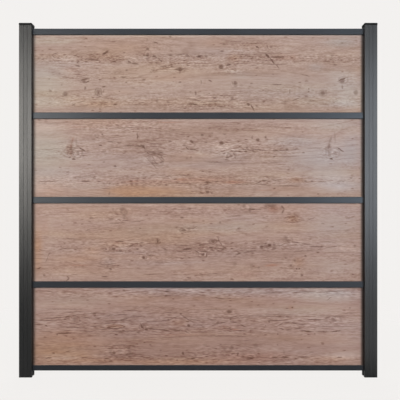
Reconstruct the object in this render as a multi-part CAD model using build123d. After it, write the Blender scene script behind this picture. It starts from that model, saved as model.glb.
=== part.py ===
from build123d import *
import os

# Privacy fence panel: two slotted aluminium posts hold a stack of four laminate
# boards, which are framed by horizontal aluminium rails and rubber seals.
# Millimetres, +Z up, the front faces -Y. The origin is on the ground, in the
# middle of the panel's width and depth.

# ---------------------------------------------------------------- dimensions
# posts
POST_X = 926.0          # post centre to panel centre
POST_W = 68.0           # square section
POST_L = 1888.0         # extrusion length, ground to underside of cap
POST_EDGE_R = 1.5       # outer corner radius
WALL = 2.0              # extrusion wall
SLOT_W = 21.0           # slot mouth
SLOT_D = 17.0           # slot depth
SLOT_LIP_R = 0.6        # rounding of the slot mouth
CHAMBER = 30.0          # clear square inside the centre chamber
PORT_XY = 19.5          # screw port centres, from the post centre
PORT_R = 2.5            # screw port bore
PORT_BOSS_R = 4.5       # screw port outside radius

# cover strips, clipped into the free slots
STRIP_W = 20.0
STRIP_T = 1.6
STRIP_LEG = 12.0        # leg depth below the face
STRIP_LEG_T = 1.2
STRIP_BARB = 0.5        # the barb reaches the slot wall

# post caps
CAP_OVER = 1.0          # overhang on each side
CAP_H = 12.0            # visible height
CAP_BEVEL = 2.0
CAP_WALL = 3.0          # rim and top thickness
CAP_SKIRT = 26.0        # plug depth inside the centre chamber
CAP_SKIRT_T = 2.0
CAP_SKIRT_GAP = 0.5     # each side, between plug and chamber

# infill stack, heights above the ground
STACK_Z = 31.7          # underside of the bottom rail
BOTTOM_RAIL_H = 27.0
RAIL_H = 32.0           # middle rails and top rail
OUTER_BOARD_SEEN = 420.5
INNER_BOARD_SEEN = 423.5
BOARD_H = 442.0
BOARD_T = 8.0
BOARD_EDGE = 0.6        # eased long edges
BOARD_IN_SLOT = 13.0    # how far a board goes into each post slot

# rails
RAIL_D = 20.0           # front to back
RAIL_WALL = 1.8
RAIL_WEB = 1.6
RAIL_IN_SLOT = 15.0
RAIL_EDGE_R = 1.0
SEAL_BASE = 2.0         # rubber under a board's edge
SEAL_PROUD = 1.2        # rubber lip seen past the rail
SEAL_LIP_R = 0.8

# vertical seals on the board ends
END_SEAL_W = 20.4
END_SEAL_D = 15.0
END_SEAL_BACK = 1.2     # set back from the slot mouth

# blocks below and above the stack, inside the slots
BLOCK_W = 20.4
BLOCK_D = 15.5
LOW_BLOCK_Z = 3.0
HIGH_BLOCK_H = 12.5
SCREW_R = 1.75          # pan head screws, 3.5 mm
SCREW_HEAD_R = 3.45
SCREW_HEAD_H = 2.6
SCREW_CLEAR = 0.05
SCREW_TIP = 0.4         # screw past the slot floor wall, in the centre chamber

# ---------------------------------------------------------------- derived
HALF = POST_W / 2
SLOT_FLOOR = HALF - SLOT_D             # slot floor, from the post centre
INNER_FACE = POST_X - HALF             # inner face of a post, from the panel centre
SIDE = SLOT_W / 2 + WALL               # outside of a slot's side wall
RAIL_L = 2 * (INNER_FACE + RAIL_IN_SLOT)
BOARD_L = 2 * (INNER_FACE + BOARD_IN_SLOT)
INNER_BITE = (BOARD_H - INNER_BOARD_SEEN) / 2            # board inside a middle rail
OUTER_BITE = BOARD_H - OUTER_BOARD_SEEN - INNER_BITE     # board inside the end rails
CHANNEL_W = RAIL_D - 2 * RAIL_WALL

rail_z = [STACK_Z]                     # underside of each rail, from the bottom up
seen = [OUTER_BOARD_SEEN, INNER_BOARD_SEEN, INNER_BOARD_SEEN, OUTER_BOARD_SEEN]
heights = [BOTTOM_RAIL_H, RAIL_H, RAIL_H, RAIL_H, RAIL_H]
for i in range(4):
    rail_z.append(rail_z[i] + heights[i] + seen[i])
stack_top = rail_z[4] + RAIL_H

os.makedirs("parts", exist_ok=True)


def save(shape, name):
    """Write one node, as a single shape or as a group of separate solids."""
    solids = shape.solids() if not isinstance(shape, list) else shape
    out = solids[0] if len(solids) == 1 else Compound(children=solids)
    out.label = name
    export_step(out, f"parts/{name}.step")
    box = out.bounding_box()
    print(f"{name}: {len(solids)} solid(s), {out.volume / 1000:.1f} cm3, "
          f"z {box.min.Z:.1f} to {box.max.Z:.1f}")


def near(vertices, points, tol=0.01):
    """The vertices that lie at the given points of the XY plane."""
    return [v for v in vertices
            if any(abs(v.X - x) < tol and abs(v.Y - y) < tol for x, y in points)]


# ---------------------------------------------------------------- posts
def post_section():
    s = RectangleRounded(POST_W, POST_W, POST_EDGE_R)
    for a in range(4):
        s -= Rot(0, 0, 90 * a) * Pos(0, HALF - SLOT_D / 2) * Rectangle(SLOT_W, SLOT_D)
    w = SLOT_W / 2
    mouths = [(a * w, b * HALF) for a in (-1, 1) for b in (-1, 1)]
    mouths += [(y, x) for x, y in mouths]
    s = fillet(near(s.vertices(), mouths), SLOT_LIP_R)
    s -= RectangleRounded(CHAMBER, CHAMBER, 1.0)
    # four corner chambers, each bent around the centre chamber and its screw port
    far = HALF - WALL
    inner = CHAMBER / 2 + WALL
    for sx in (-1, 1):
        for sy in (-1, 1):
            mid = (SIDE + far) / 2
            c = Pos(sx * mid, sy * mid) * Rectangle(far - SIDE, far - SIDE)
            near_mid = (SIDE - 1 + inner) / 2
            c -= Pos(sx * near_mid, sy * near_mid) * Rectangle(inner - SIDE + 1, inner - SIDE + 1)
            c -= Pos(sx * PORT_XY, sy * PORT_XY) * Circle(PORT_BOSS_R)
            c = fillet(near(c.vertices(), [(sx * far, sy * far)]), 1.0)
            s -= c
            s -= Pos(sx * PORT_XY, sy * PORT_XY) * Circle(PORT_R)
    return s


def screw_hole(side, z):
    """A hole through the slot floor wall on the panel side of a post."""
    toward = -side
    x = side * POST_X + toward * (SLOT_FLOOR - WALL / 2)
    return Pos(x, 0, z) * Rot(0, 90, 0) * Cylinder(SCREW_R + SCREW_CLEAR, WALL + 2)


low_screw_z = (LOW_BLOCK_Z + STACK_Z) / 2
high_screw_z = stack_top + HIGH_BLOCK_H / 2

section = post_section()
for side, name in ((-1, "left"), (1, "right")):
    post = Pos(side * POST_X, 0, 0) * extrude(section, POST_L)
    post -= screw_hole(side, low_screw_z)
    post -= screw_hole(side, high_screw_z)
    save(post, f"{name}_post")


# ---------------------------------------------------------------- cover strips
def strip_section():
    """Section of a cover strip in the slot that opens toward +Y."""
    w = STRIP_W / 2
    top = HALF
    face = Pos(0, top - STRIP_T / 2) * Rectangle(STRIP_W, STRIP_T)
    face = fillet(near(face.vertices(), [(-w, top), (w, top)]), 0.6)
    leg_c = w - STRIP_LEG_T / 2
    s = face
    for sx in (-1, 1):
        s += Pos(sx * leg_c, top - STRIP_LEG / 2 - 0.3) * Rectangle(STRIP_LEG_T, STRIP_LEG - 0.6)
        # barb: a small wedge that reaches the slot wall
        y0 = top - STRIP_LEG + 0.5
        wedge = make_face(Polyline(
            (sx * (w - 0.2), y0), (sx * (w - 0.2), y0 + 3.2),
            (sx * (w + STRIP_BARB), y0 + 2.4), (sx * (w + STRIP_BARB), y0 + 1.8),
            (sx * (w - 0.2), y0)))
        s += wedge
    return s


strip = strip_section()
for side, name in ((-1, "left"), (1, "right")):
    for label, angle in (("front", 180), ("back", 0), ("outer", 90 if side < 0 else -90)):
        save(Pos(side * POST_X, 0, 0) * Rot(0, 0, angle) * extrude(strip, POST_L),
             f"{name}_post_{label}_cover")


# ---------------------------------------------------------------- post caps
def cap():
    """Moulded cap: a bevelled shell that sits on the post's end, with a square
    plug, ribs between plug and rim, and crush ribs on the plug."""
    w = POST_W + 2 * CAP_OVER
    body = extrude(RectangleRounded(w, w, POST_EDGE_R + CAP_OVER), CAP_H)
    body = chamfer(body.faces().sort_by(Axis.Z)[-1].edges(), CAP_BEVEL)
    body = fillet(body.faces().sort_by(Axis.Z)[0].edges(), 0.4)
    k = CHAMBER - 2 * CAP_SKIRT_GAP
    deep = CAP_H - CAP_WALL
    body -= extrude(RectangleRounded(w - 2 * CAP_WALL, w - 2 * CAP_WALL, 1.0), deep)
    plug = Pos(0, 0, -CAP_SKIRT) * extrude(
        RectangleRounded(k, k, 1.2) - RectangleRounded(k - 2 * CAP_SKIRT_T, k - 2 * CAP_SKIRT_T, 0.6),
        CAP_SKIRT + deep + 0.5)
    plug = chamfer(plug.faces().sort_by(Axis.Z)[0].outer_wire().edges(), 0.8)
    body += plug
    # crossed webs stiffen the plug over its whole depth
    for a in (0, 90):
        body += Rot(0, 0, a) * Pos(0, 0, (deep + 0.5 - CAP_SKIRT) / 2) * Box(
            k - 2 * CAP_SKIRT_T + 1.0, 1.6, CAP_SKIRT + deep + 0.5)
    reach = (w - 2 * CAP_WALL - k) / 2
    for a in range(4):
        for off in (-8, 8):
            body += Rot(0, 0, 90 * a) * Pos(off, k / 2 + reach / 2, deep / 2 + 1.5) * Box(
                1.6, reach + 1.0, deep - 2)
            body += Rot(0, 0, 90 * a) * Pos(off, k / 2 + CAP_SKIRT_GAP / 2 - 0.2, -CAP_SKIRT / 2) * Box(
                1.2, CAP_SKIRT_GAP + 0.4, CAP_SKIRT - 4)
    return body


cap_shape = cap()
for side, name in ((-1, "left"), (1, "right")):
    save(Pos(side * POST_X, 0, POST_L) * cap_shape, f"{name}_post_cap")


# ---------------------------------------------------------------- rails
def rail_section(height, low, high):
    """Section in YZ, drawn from the rail's underside. low and high are the
    depths of the board channels, 0 where the rail is closed."""
    s = Pos(0, height / 2) * Rectangle(RAIL_D, height)
    d = RAIL_D / 2
    corners = [(a * d, b) for a in (-1, 1) for b in (0, height)]
    s = fillet(near(s.vertices(), corners), RAIL_EDGE_R)
    z0 = RAIL_WEB
    z1 = height - RAIL_WEB
    if low:
        s -= Pos(0, low / 2) * Rectangle(CHANNEL_W, low)
        z0 = low + RAIL_WEB
    if high:
        s -= Pos(0, height - high / 2) * Rectangle(CHANNEL_W, high)
        z1 = height - high - RAIL_WEB
    s -= Pos(0, (z0 + z1) / 2) * RectangleRounded(CHANNEL_W, z1 - z0, 0.8)
    return s


YZ = Plane.YZ
inner_ch = INNER_BITE + SEAL_BASE
outer_ch = OUTER_BITE + SEAL_BASE
rails = [
    ("bottom_rail", BOTTOM_RAIL_H, 0, outer_ch),
    ("lower_middle_rail", RAIL_H, inner_ch, inner_ch),
    ("centre_rail", RAIL_H, inner_ch, inner_ch),
    ("upper_middle_rail", RAIL_H, inner_ch, inner_ch),
    ("top_rail", RAIL_H, outer_ch, 0),
]
for (name, height, low, high), z in zip(rails, rail_z):
    rail = extrude(YZ * rail_section(height, low, high), RAIL_L / 2, both=True)
    save(Pos(0, 0, z) * rail, name)


# ---------------------------------------------------------------- boards and seals
def edge_seal(depth):
    """U seal around a board's long edge, in YZ. The channel floor is at 0 and
    the board stands above it; the lips pass the channel's mouth."""
    w = CHANNEL_W / 2
    top = depth + SEAL_PROUD
    s = Pos(0, top / 2) * Rectangle(CHANNEL_W, top)
    s = fillet(near(s.vertices(), [(-w, top), (w, top)]), SEAL_LIP_R)
    s -= Pos(0, SEAL_BASE + top / 2) * Rectangle(BOARD_T, top)
    # two hollow bulbs let the lips squeeze against the board
    for sy in (-1, 1):
        s -= Pos(sy * (w + BOARD_T / 2) / 2, top / 2) * SlotCenterToCenter(
            depth - 7, 1.6, rotation=90)
    return s


board_names = ["bottom_board", "lower_board", "upper_board", "top_board"]
for i, name in enumerate(board_names):
    low_ch = outer_ch if i == 0 else inner_ch
    high_ch = outer_ch if i == 3 else inner_ch
    mouth_low = rail_z[i] + heights[i]          # top of the rail below
    mouth_high = rail_z[i + 1]                  # underside of the rail above
    z0 = mouth_low - low_ch + SEAL_BASE
    board = Pos(0, 0, z0 + BOARD_H / 2) * Box(BOARD_L, BOARD_T, BOARD_H)
    board = chamfer(board.edges().filter_by(Axis.X), BOARD_EDGE)
    save(board, name)

    low_seal = extrude(YZ * edge_seal(low_ch), RAIL_L / 2, both=True)
    save(Pos(0, 0, mouth_low - low_ch) * low_seal, f"{name}_lower_seal")
    high_seal = extrude(YZ * edge_seal(high_ch), RAIL_L / 2, both=True)
    save(Pos(0, 0, mouth_high + high_ch) * Rot(180, 0, 0) * high_seal, f"{name}_upper_seal")

    # end seals, in the post slots, between the lips of the long seals
    h0 = mouth_low + SEAL_PROUD
    h1 = mouth_high - SEAL_PROUD
    for side, label in ((-1, "left"), (1, "right")):
        x0 = INNER_FACE + END_SEAL_BACK
        u = Pos(x0 + END_SEAL_D / 2, 0) * RectangleRounded(END_SEAL_D, END_SEAL_W, 0.8)
        bite = BOARD_IN_SLOT - END_SEAL_BACK
        u -= Pos(x0 + bite / 2 - 1, 0) * Rectangle(bite + 2, BOARD_T)
        for sy in (-1, 1):
            u -= Pos(x0 + END_SEAL_D / 2 - 1, sy * (END_SEAL_W + BOARD_T) / 4) * SlotCenterToCenter(6.0, 2.4)
        seal = extrude(u, h1 - h0)
        if side < 0:
            seal = mirror(seal, about=Plane.YZ)
        save(Pos(0, 0, h0) * seal, f"{name}_{label}_seal")


# ---------------------------------------------------------------- blocks and screws
def block(side, z0, z1, screw_z):
    """Moulded block on the slot floor, with a counterbored screw hole."""
    floor = POST_X - SLOT_FLOOR                      # slot floor, from the panel centre
    b = Pos(floor - BLOCK_D / 2, 0, (z0 + z1) / 2) * Box(BLOCK_D, BLOCK_W, z1 - z0)
    b = chamfer(b.edges().filter_by(Axis.X), 0.6)
    seat = floor - BLOCK_D + SCREW_HEAD_H + 2.0
    b -= Pos(floor - BLOCK_D / 2, 0, screw_z) * Rot(0, 90, 0) * Cylinder(SCREW_R + SCREW_CLEAR, BLOCK_D + 2)
    b -= Pos((floor - BLOCK_D - 1 + seat) / 2, 0, screw_z) * Rot(0, 90, 0) * Cylinder(
        SCREW_HEAD_R + 0.3, seat - (floor - BLOCK_D - 1))
    return b if side > 0 else mirror(b, about=Plane.YZ)


def screw(side, screw_z):
    """Pan head screw along X, head toward the panel, with a cross recess."""
    floor = POST_X - SLOT_FLOOR
    seat = floor - BLOCK_D + SCREW_HEAD_H + 2.0
    tip = floor + WALL + SCREW_TIP
    head = Pos(0, 0, 0) * Cylinder(SCREW_HEAD_R, SCREW_HEAD_H, align=(Align.CENTER, Align.CENTER, Align.MIN))
    head = fillet(head.faces().sort_by(Axis.Z)[-1].edges(), 1.2)
    for a in (0, 90):
        head -= Rot(0, 0, a) * Pos(0, 0, SCREW_HEAD_H - 0.5) * Box(3.4, 0.8, 1.2)
    shank_l = tip - seat
    shank = Cylinder(SCREW_R, shank_l + 0.5, align=(Align.CENTER, Align.CENTER, Align.MAX))
    shank = Pos(0, 0, 0.5) * shank
    shank = chamfer(shank.faces().sort_by(Axis.Z)[0].edges(), 1.1)
    s = head + shank                                  # axis Z, head up, seat at 0
    s = Pos(seat, 0, screw_z) * Rot(0, -90, 0) * s    # head now points to -X
    return s if side > 0 else mirror(s, about=Plane.YZ)


for side, name in ((-1, "left"), (1, "right")):
    save(block(side, LOW_BLOCK_Z, STACK_Z, low_screw_z), f"{name}_support_block")
    save(block(side, stack_top, stack_top + HIGH_BLOCK_H, high_screw_z), f"{name}_retaining_block")

for name, z in (("support_block_screws", low_screw_z), ("retaining_block_screws", high_screw_z)):
    left = screw(-1, z).solids()
    right = screw(1, z).solids()
    save([left[0], right[0]], name)

print("stack top", stack_top, "board bite", INNER_BITE, OUTER_BITE, "rail length", RAIL_L)
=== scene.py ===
import bpy
import math
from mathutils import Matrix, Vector

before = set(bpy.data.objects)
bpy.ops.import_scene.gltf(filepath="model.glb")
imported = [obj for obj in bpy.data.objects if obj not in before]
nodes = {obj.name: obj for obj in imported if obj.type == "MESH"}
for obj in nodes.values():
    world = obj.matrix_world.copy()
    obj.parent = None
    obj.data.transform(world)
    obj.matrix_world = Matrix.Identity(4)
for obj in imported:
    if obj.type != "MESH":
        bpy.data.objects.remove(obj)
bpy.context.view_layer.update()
scene = bpy.context.scene


# ---------------------------------------------------------------- camera
# Image frame 400 x 400. One pixel is 5.391 mm at the plane of the boards.
PX = 0.005391
CENTRE_PX = (198.15, 200.16)
CAM = Vector((0.0099, -3.884, 0.9509))
LENS = 64.70

cam_data = bpy.data.cameras.new("camera")
cam_data.lens = LENS
cam_data.sensor_width = 36.0
cam_data.sensor_fit = "HORIZONTAL"
cam_data.clip_start = 0.05
cam_data.clip_end = 60.0
camera = bpy.data.objects.new("camera", cam_data)
camera.location = CAM
camera.rotation_euler = (math.radians(90.0), 0.0, 0.0)
scene.collection.objects.link(camera)
scene.camera = camera

scene.view_settings.view_transform = "Standard"
scene.view_settings.look = "None"
scene.view_settings.exposure = 0.0
scene.view_settings.gamma = 1.0


# ---------------------------------------------------------------- node helpers
def lin(r, g, b):
    """A colour given as 8 bit display values, as linear RGBA."""
    out = []
    for v in (r, g, b):
        v /= 255.0
        out.append(v / 12.92 if v <= 0.04045 else ((v + 0.055) / 1.055) ** 2.4)
    return (*out, 1.0)


class Tree:
    """A short way to write shader nodes as expressions."""

    def __init__(self, material):
        material.use_nodes = True
        self.nt = material.node_tree
        self.nt.nodes.clear()
        self.material = material

    def new(self, kind, **props):
        n = self.nt.nodes.new(kind)
        for k, v in props.items():
            setattr(n, k, v)
        return n

    def put(self, socket, value):
        if isinstance(value, bpy.types.NodeSocket):
            self.nt.links.new(value, socket)
        elif value is not None:
            socket.default_value = value

    def math(self, op, a, b=None, c=None, clamp=False):
        n = self.new("ShaderNodeMath", operation=op, use_clamp=clamp)
        for s, v in zip(n.inputs, (a, b, c)):
            self.put(s, v)
        return n.outputs[0]

    def add(self, a, b):
        return self.math("ADD", a, b)

    def mul(self, a, b):
        return self.math("MULTIPLY", a, b)

    def vec(self, op, a, b=None, c=None, scale=None):
        n = self.new("ShaderNodeVectorMath", operation=op)
        self.put(n.inputs[0], a)
        if b is not None:
            self.put(n.inputs[1], b)
        if c is not None:
            self.put(n.inputs[2], c)
        if scale is not None:
            self.put(n.inputs["Scale"], scale)
        return n.outputs["Value"] if op in ("LENGTH", "DOT_PRODUCT", "DISTANCE") else n.outputs[0]

    def xyz(self, v):
        n = self.new("ShaderNodeSeparateXYZ")
        self.put(n.inputs[0], v)
        return n.outputs

    def join(self, x, y, z):
        n = self.new("ShaderNodeCombineXYZ")
        for s, v in zip(n.inputs, (x, y, z)):
            self.put(s, v)
        return n.outputs[0]

    def place(self, v, loc=(0, 0, 0), rot=(0, 0, 0), scale=(1, 1, 1), kind="POINT"):
        n = self.new("ShaderNodeMapping", vector_type=kind)
        self.put(n.inputs["Vector"], v)
        self.put(n.inputs["Location"], loc)
        self.put(n.inputs["Rotation"], rot)
        self.put(n.inputs["Scale"], scale)
        return n.outputs[0]

    def noise(self, v, scale=1.0, detail=2.0, rough=0.5, distort=0.0, colour=False, lac=2.0):
        n = self.new("ShaderNodeTexNoise", noise_dimensions="3D")
        self.put(n.inputs["Vector"], v)
        self.put(n.inputs["Scale"], scale)
        self.put(n.inputs["Detail"], detail)
        self.put(n.inputs["Roughness"], rough)
        self.put(n.inputs["Lacunarity"], lac)
        self.put(n.inputs["Distortion"], distort)
        return n.outputs["Color"] if colour else n.outputs[0]

    def cells(self, v, scale=1.0, feature="F1", rand=1.0, out="Distance"):
        n = self.new("ShaderNodeTexVoronoi", feature=feature)
        self.put(n.inputs["Vector"], v)
        self.put(n.inputs["Scale"], scale)
        self.put(n.inputs["Randomness"], rand)
        return n.outputs[out]

    def remap(self, v, a, b, c=0.0, d=1.0, smooth=False, clamp=True):
        n = self.new("ShaderNodeMapRange")
        n.clamp = clamp
        n.interpolation_type = "SMOOTHSTEP" if smooth else "LINEAR"
        for s, x in zip(n.inputs[:5], (v, a, b, c, d)):
            self.put(s, x)
        return n.outputs[0]

    def mix(self, fac, a, b, blend="MIX"):
        n = self.new("ShaderNodeMix", data_type="RGBA", blend_type=blend)
        n.clamp_factor = True
        self.put(n.inputs[0], fac)
        self.put(n.inputs[6], a)
        self.put(n.inputs[7], b)
        return n.outputs[2]

    def ramp(self, fac, stops, interp="LINEAR"):
        n = self.new("ShaderNodeValToRGB")
        r = n.color_ramp
        r.interpolation = interp
        while len(r.elements) < len(stops):
            r.elements.new(0.5)
        for e, (p, c) in zip(r.elements, stops):
            e.position = p
            e.color = c if len(c) == 4 else (*c, 1.0)
        self.put(n.inputs[0], fac)
        return n.outputs[0]

    def bump(self, height, distance, strength=1.0, normal=None):
        n = self.new("ShaderNodeBump")
        self.put(n.inputs["Height"], height)
        self.put(n.inputs["Distance"], distance)
        self.put(n.inputs["Strength"], strength)
        if normal is not None:
            self.put(n.inputs["Normal"], normal)
        return n.outputs[0]

    def surface(self, colour, roughness, normal=None, metallic=0.0, specular=0.5, sheen=None):
        b = self.new("ShaderNodeBsdfPrincipled")
        self.put(b.inputs["Base Color"], colour)
        self.put(b.inputs["Roughness"], roughness)
        self.put(b.inputs["Metallic"], metallic)
        self.put(b.inputs["Specular IOR Level"], specular)
        if normal is not None:
            self.put(b.inputs["Normal"], normal)
        out = self.new("ShaderNodeOutputMaterial")
        self.nt.links.new(b.outputs[0], out.inputs["Surface"])
        return b

    def position(self):
        return self.new("ShaderNodeTexCoord").outputs["Object"]


def new_tree(name):
    return Tree(bpy.data.materials.new(name))


# ---------------------------------------------------------------- coated metal
def coated_metal(name, colour, rough, seed, sheen=0.9, tint=(1, 1, 1, 1)):
    """Fine-structure powder coat on an extrusion: a tight grit, a small ripple and a broad mottle, small sheen changes.
    """
    t = new_tree(name)
    p = t.position()
    o = t.vec("ADD", p, (seed, seed * 0.7, seed * 1.3))
    grit = t.noise(o, 1300.0, 2.0, 0.6)
    peel = t.noise(o, 210.0, 2.0, 0.5)
    broad = t.noise(o, 2.3, 3.0, 0.55)
    tone = t.add(t.mul(broad, 0.6), t.mul(peel, 0.4))
    c = t.mix(t.remap(tone, 0.3, 0.7), tuple(v * 0.86 for v in colour[:3]) + (1,), tuple(v * 1.14 for v in colour[:3]) + (1,))
    c = t.mix(t.remap(grit, 0.62, 0.74, 0.0, 0.35), c, tuple(min(1, v * 1.9) for v in colour[:3]) + (1,))
    r = t.add(t.remap(broad, 0.3, 0.7, rough - 0.03, rough + 0.03), t.remap(grit, 0.3, 0.7, -0.03, 0.03))
    n1 = t.bump(peel, 0.00004, 1.0)
    n2 = t.bump(grit, 0.00002, 1.0, n1)
    t.surface(c, r, n2, specular=sheen).inputs["Specular Tint"].default_value = tint
    return t.material


def moulded_plastic(name, colour, rough, seed, sheen=0.5):
    """Moulded plastic with a spark-eroded texture."""
    t = new_tree(name)
    o = t.vec("ADD", t.position(), (seed, seed * 0.7, seed * 1.3))
    pits = t.cells(o, 1500.0)
    cloud = t.noise(o, 30.0, 3.0, 0.6)
    c = t.mix(t.remap(cloud, 0.3, 0.7), tuple(v * 0.85 for v in colour[:3]) + (1,), tuple(v * 1.15 for v in colour[:3]) + (1,))
    # painted shade: the colour is darker towards the bottom of each pit of the texture
    c = t.mix(t.remap(pits, 0.0, 0.45, 0.25, 0.0), c, tuple(v * 0.5 for v in colour[:3]) + (1,))
    r = t.remap(cloud, 0.3, 0.7, rough - 0.04, rough + 0.04)
    t.surface(c, r, t.bump(pits, 0.00005, 1.0), specular=sheen)
    return t.material


def rubber(name):
    """Extruded sealing rubber: a fine grain, a dull bloom."""
    t = new_tree(name)
    p = t.position()
    bloom = t.noise(p, 45.0, 3.0, 0.6)
    fine = t.noise(p, 1600.0, 2.0, 0.6)
    c = t.mix(t.remap(bloom, 0.35, 0.7), lin(22, 22, 22), lin(38, 37, 36))
    r = t.remap(bloom, 0.3, 0.7, 0.62, 0.78)
    t.surface(c, r, t.bump(fine, 0.00003, 1.0))
    return t.material


def brushed_steel(name):
    t = new_tree(name)
    p = t.position()
    turned = t.noise(t.place(p, scale=(1.0, 1.0, 1.0)), 900.0, 3.0, 0.6)
    cloud = t.noise(p, 120.0, 2.0, 0.5)
    c = t.mix(t.remap(cloud, 0.3, 0.7), lin(150, 150, 149), lin(184, 184, 182))
    r = t.remap(turned, 0.3, 0.7, 0.24, 0.40)
    t.surface(c, r, t.bump(turned, 0.00002, 1.0), metallic=1.0)
    return t.material


# ---------------------------------------------------------------- printed laminate
def to_row(px, py):
    """A place on the boards' face from its image pixel, in metres."""
    return ((px - CENTRE_PX[0]) * PX, 0.0, 0.95 - (py - CENTRE_PX[1]) * PX)


def stroke(thick, strength, *points, kind="dark"):
    """A thin tapering stroke through image points, as one long ellipse a stretch."""
    out = []
    for (x0, y0), (x1, y1) in zip(points, points[1:]):
        half = math.hypot(x1 - x0, y1 - y0) / 2
        reach = half * 1.12 + thick * 0.9
        turn = math.degrees(math.atan2(-(y1 - y0), x1 - x0))
        out.append((kind, (x0 + x1) / 2, (y0 + y1) / 2, reach, thick * 1.36, turn, min(1.0, strength * 1.42)))
    return out


def spot(x, y, w, h, strength, turn=0.0, kind="dark"):
    return [(kind, x, y, w * 1.45, h * 1.45, turn, min(1.0, strength * 1.18))]


def field(kind, x, y, w, h, strength, turn=0.0):
    return [(kind, x, y, w, h, turn, strength)]


def whorl(x, y, w, h, strength, turn=0.0):
    return [("whorl", x, y, w * 1.3, h * 1.3, turn, strength)]


def knot(x, y, r, strength, turn=0.0):
    """A knot: an uneven dark heart, broken arcs about it and a pale side."""
    out = spot(x, y, r * 0.36, r * 0.28, strength, turn)
    for k, (angle, reach) in enumerate(((30, 0.72), (150, 0.62), (205, 0.95), (320, 0.82), (80, 1.0))):
        angle = math.radians(angle + turn + 34.0 * math.sin(3.1 * x + 1.7 * y + 2.3 * k))
        half = 0.40 + 0.12 * math.sin(1.3 * x + k)
        ends = [(x + r * reach * math.cos(angle + h), y - 0.85 * r * reach * math.sin(angle + h)) for h in (-half, half)]
        out += stroke(0.42, strength * (0.62 if k < 3 else 0.4), *ends)
    side = 1.0 if math.sin(x * 2.3) > 0 else -1.0
    return out + field("light", x + side * r * 0.55, y - r * 0.35, r * 0.7, r * 0.45, 0.4) + field("shade", x, y, r * 1.5, r * 1.2, 0.05)


SOFT_KINDS = ("tan", "grey", "beige", "red", "shade", "glow", "mottle")


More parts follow.
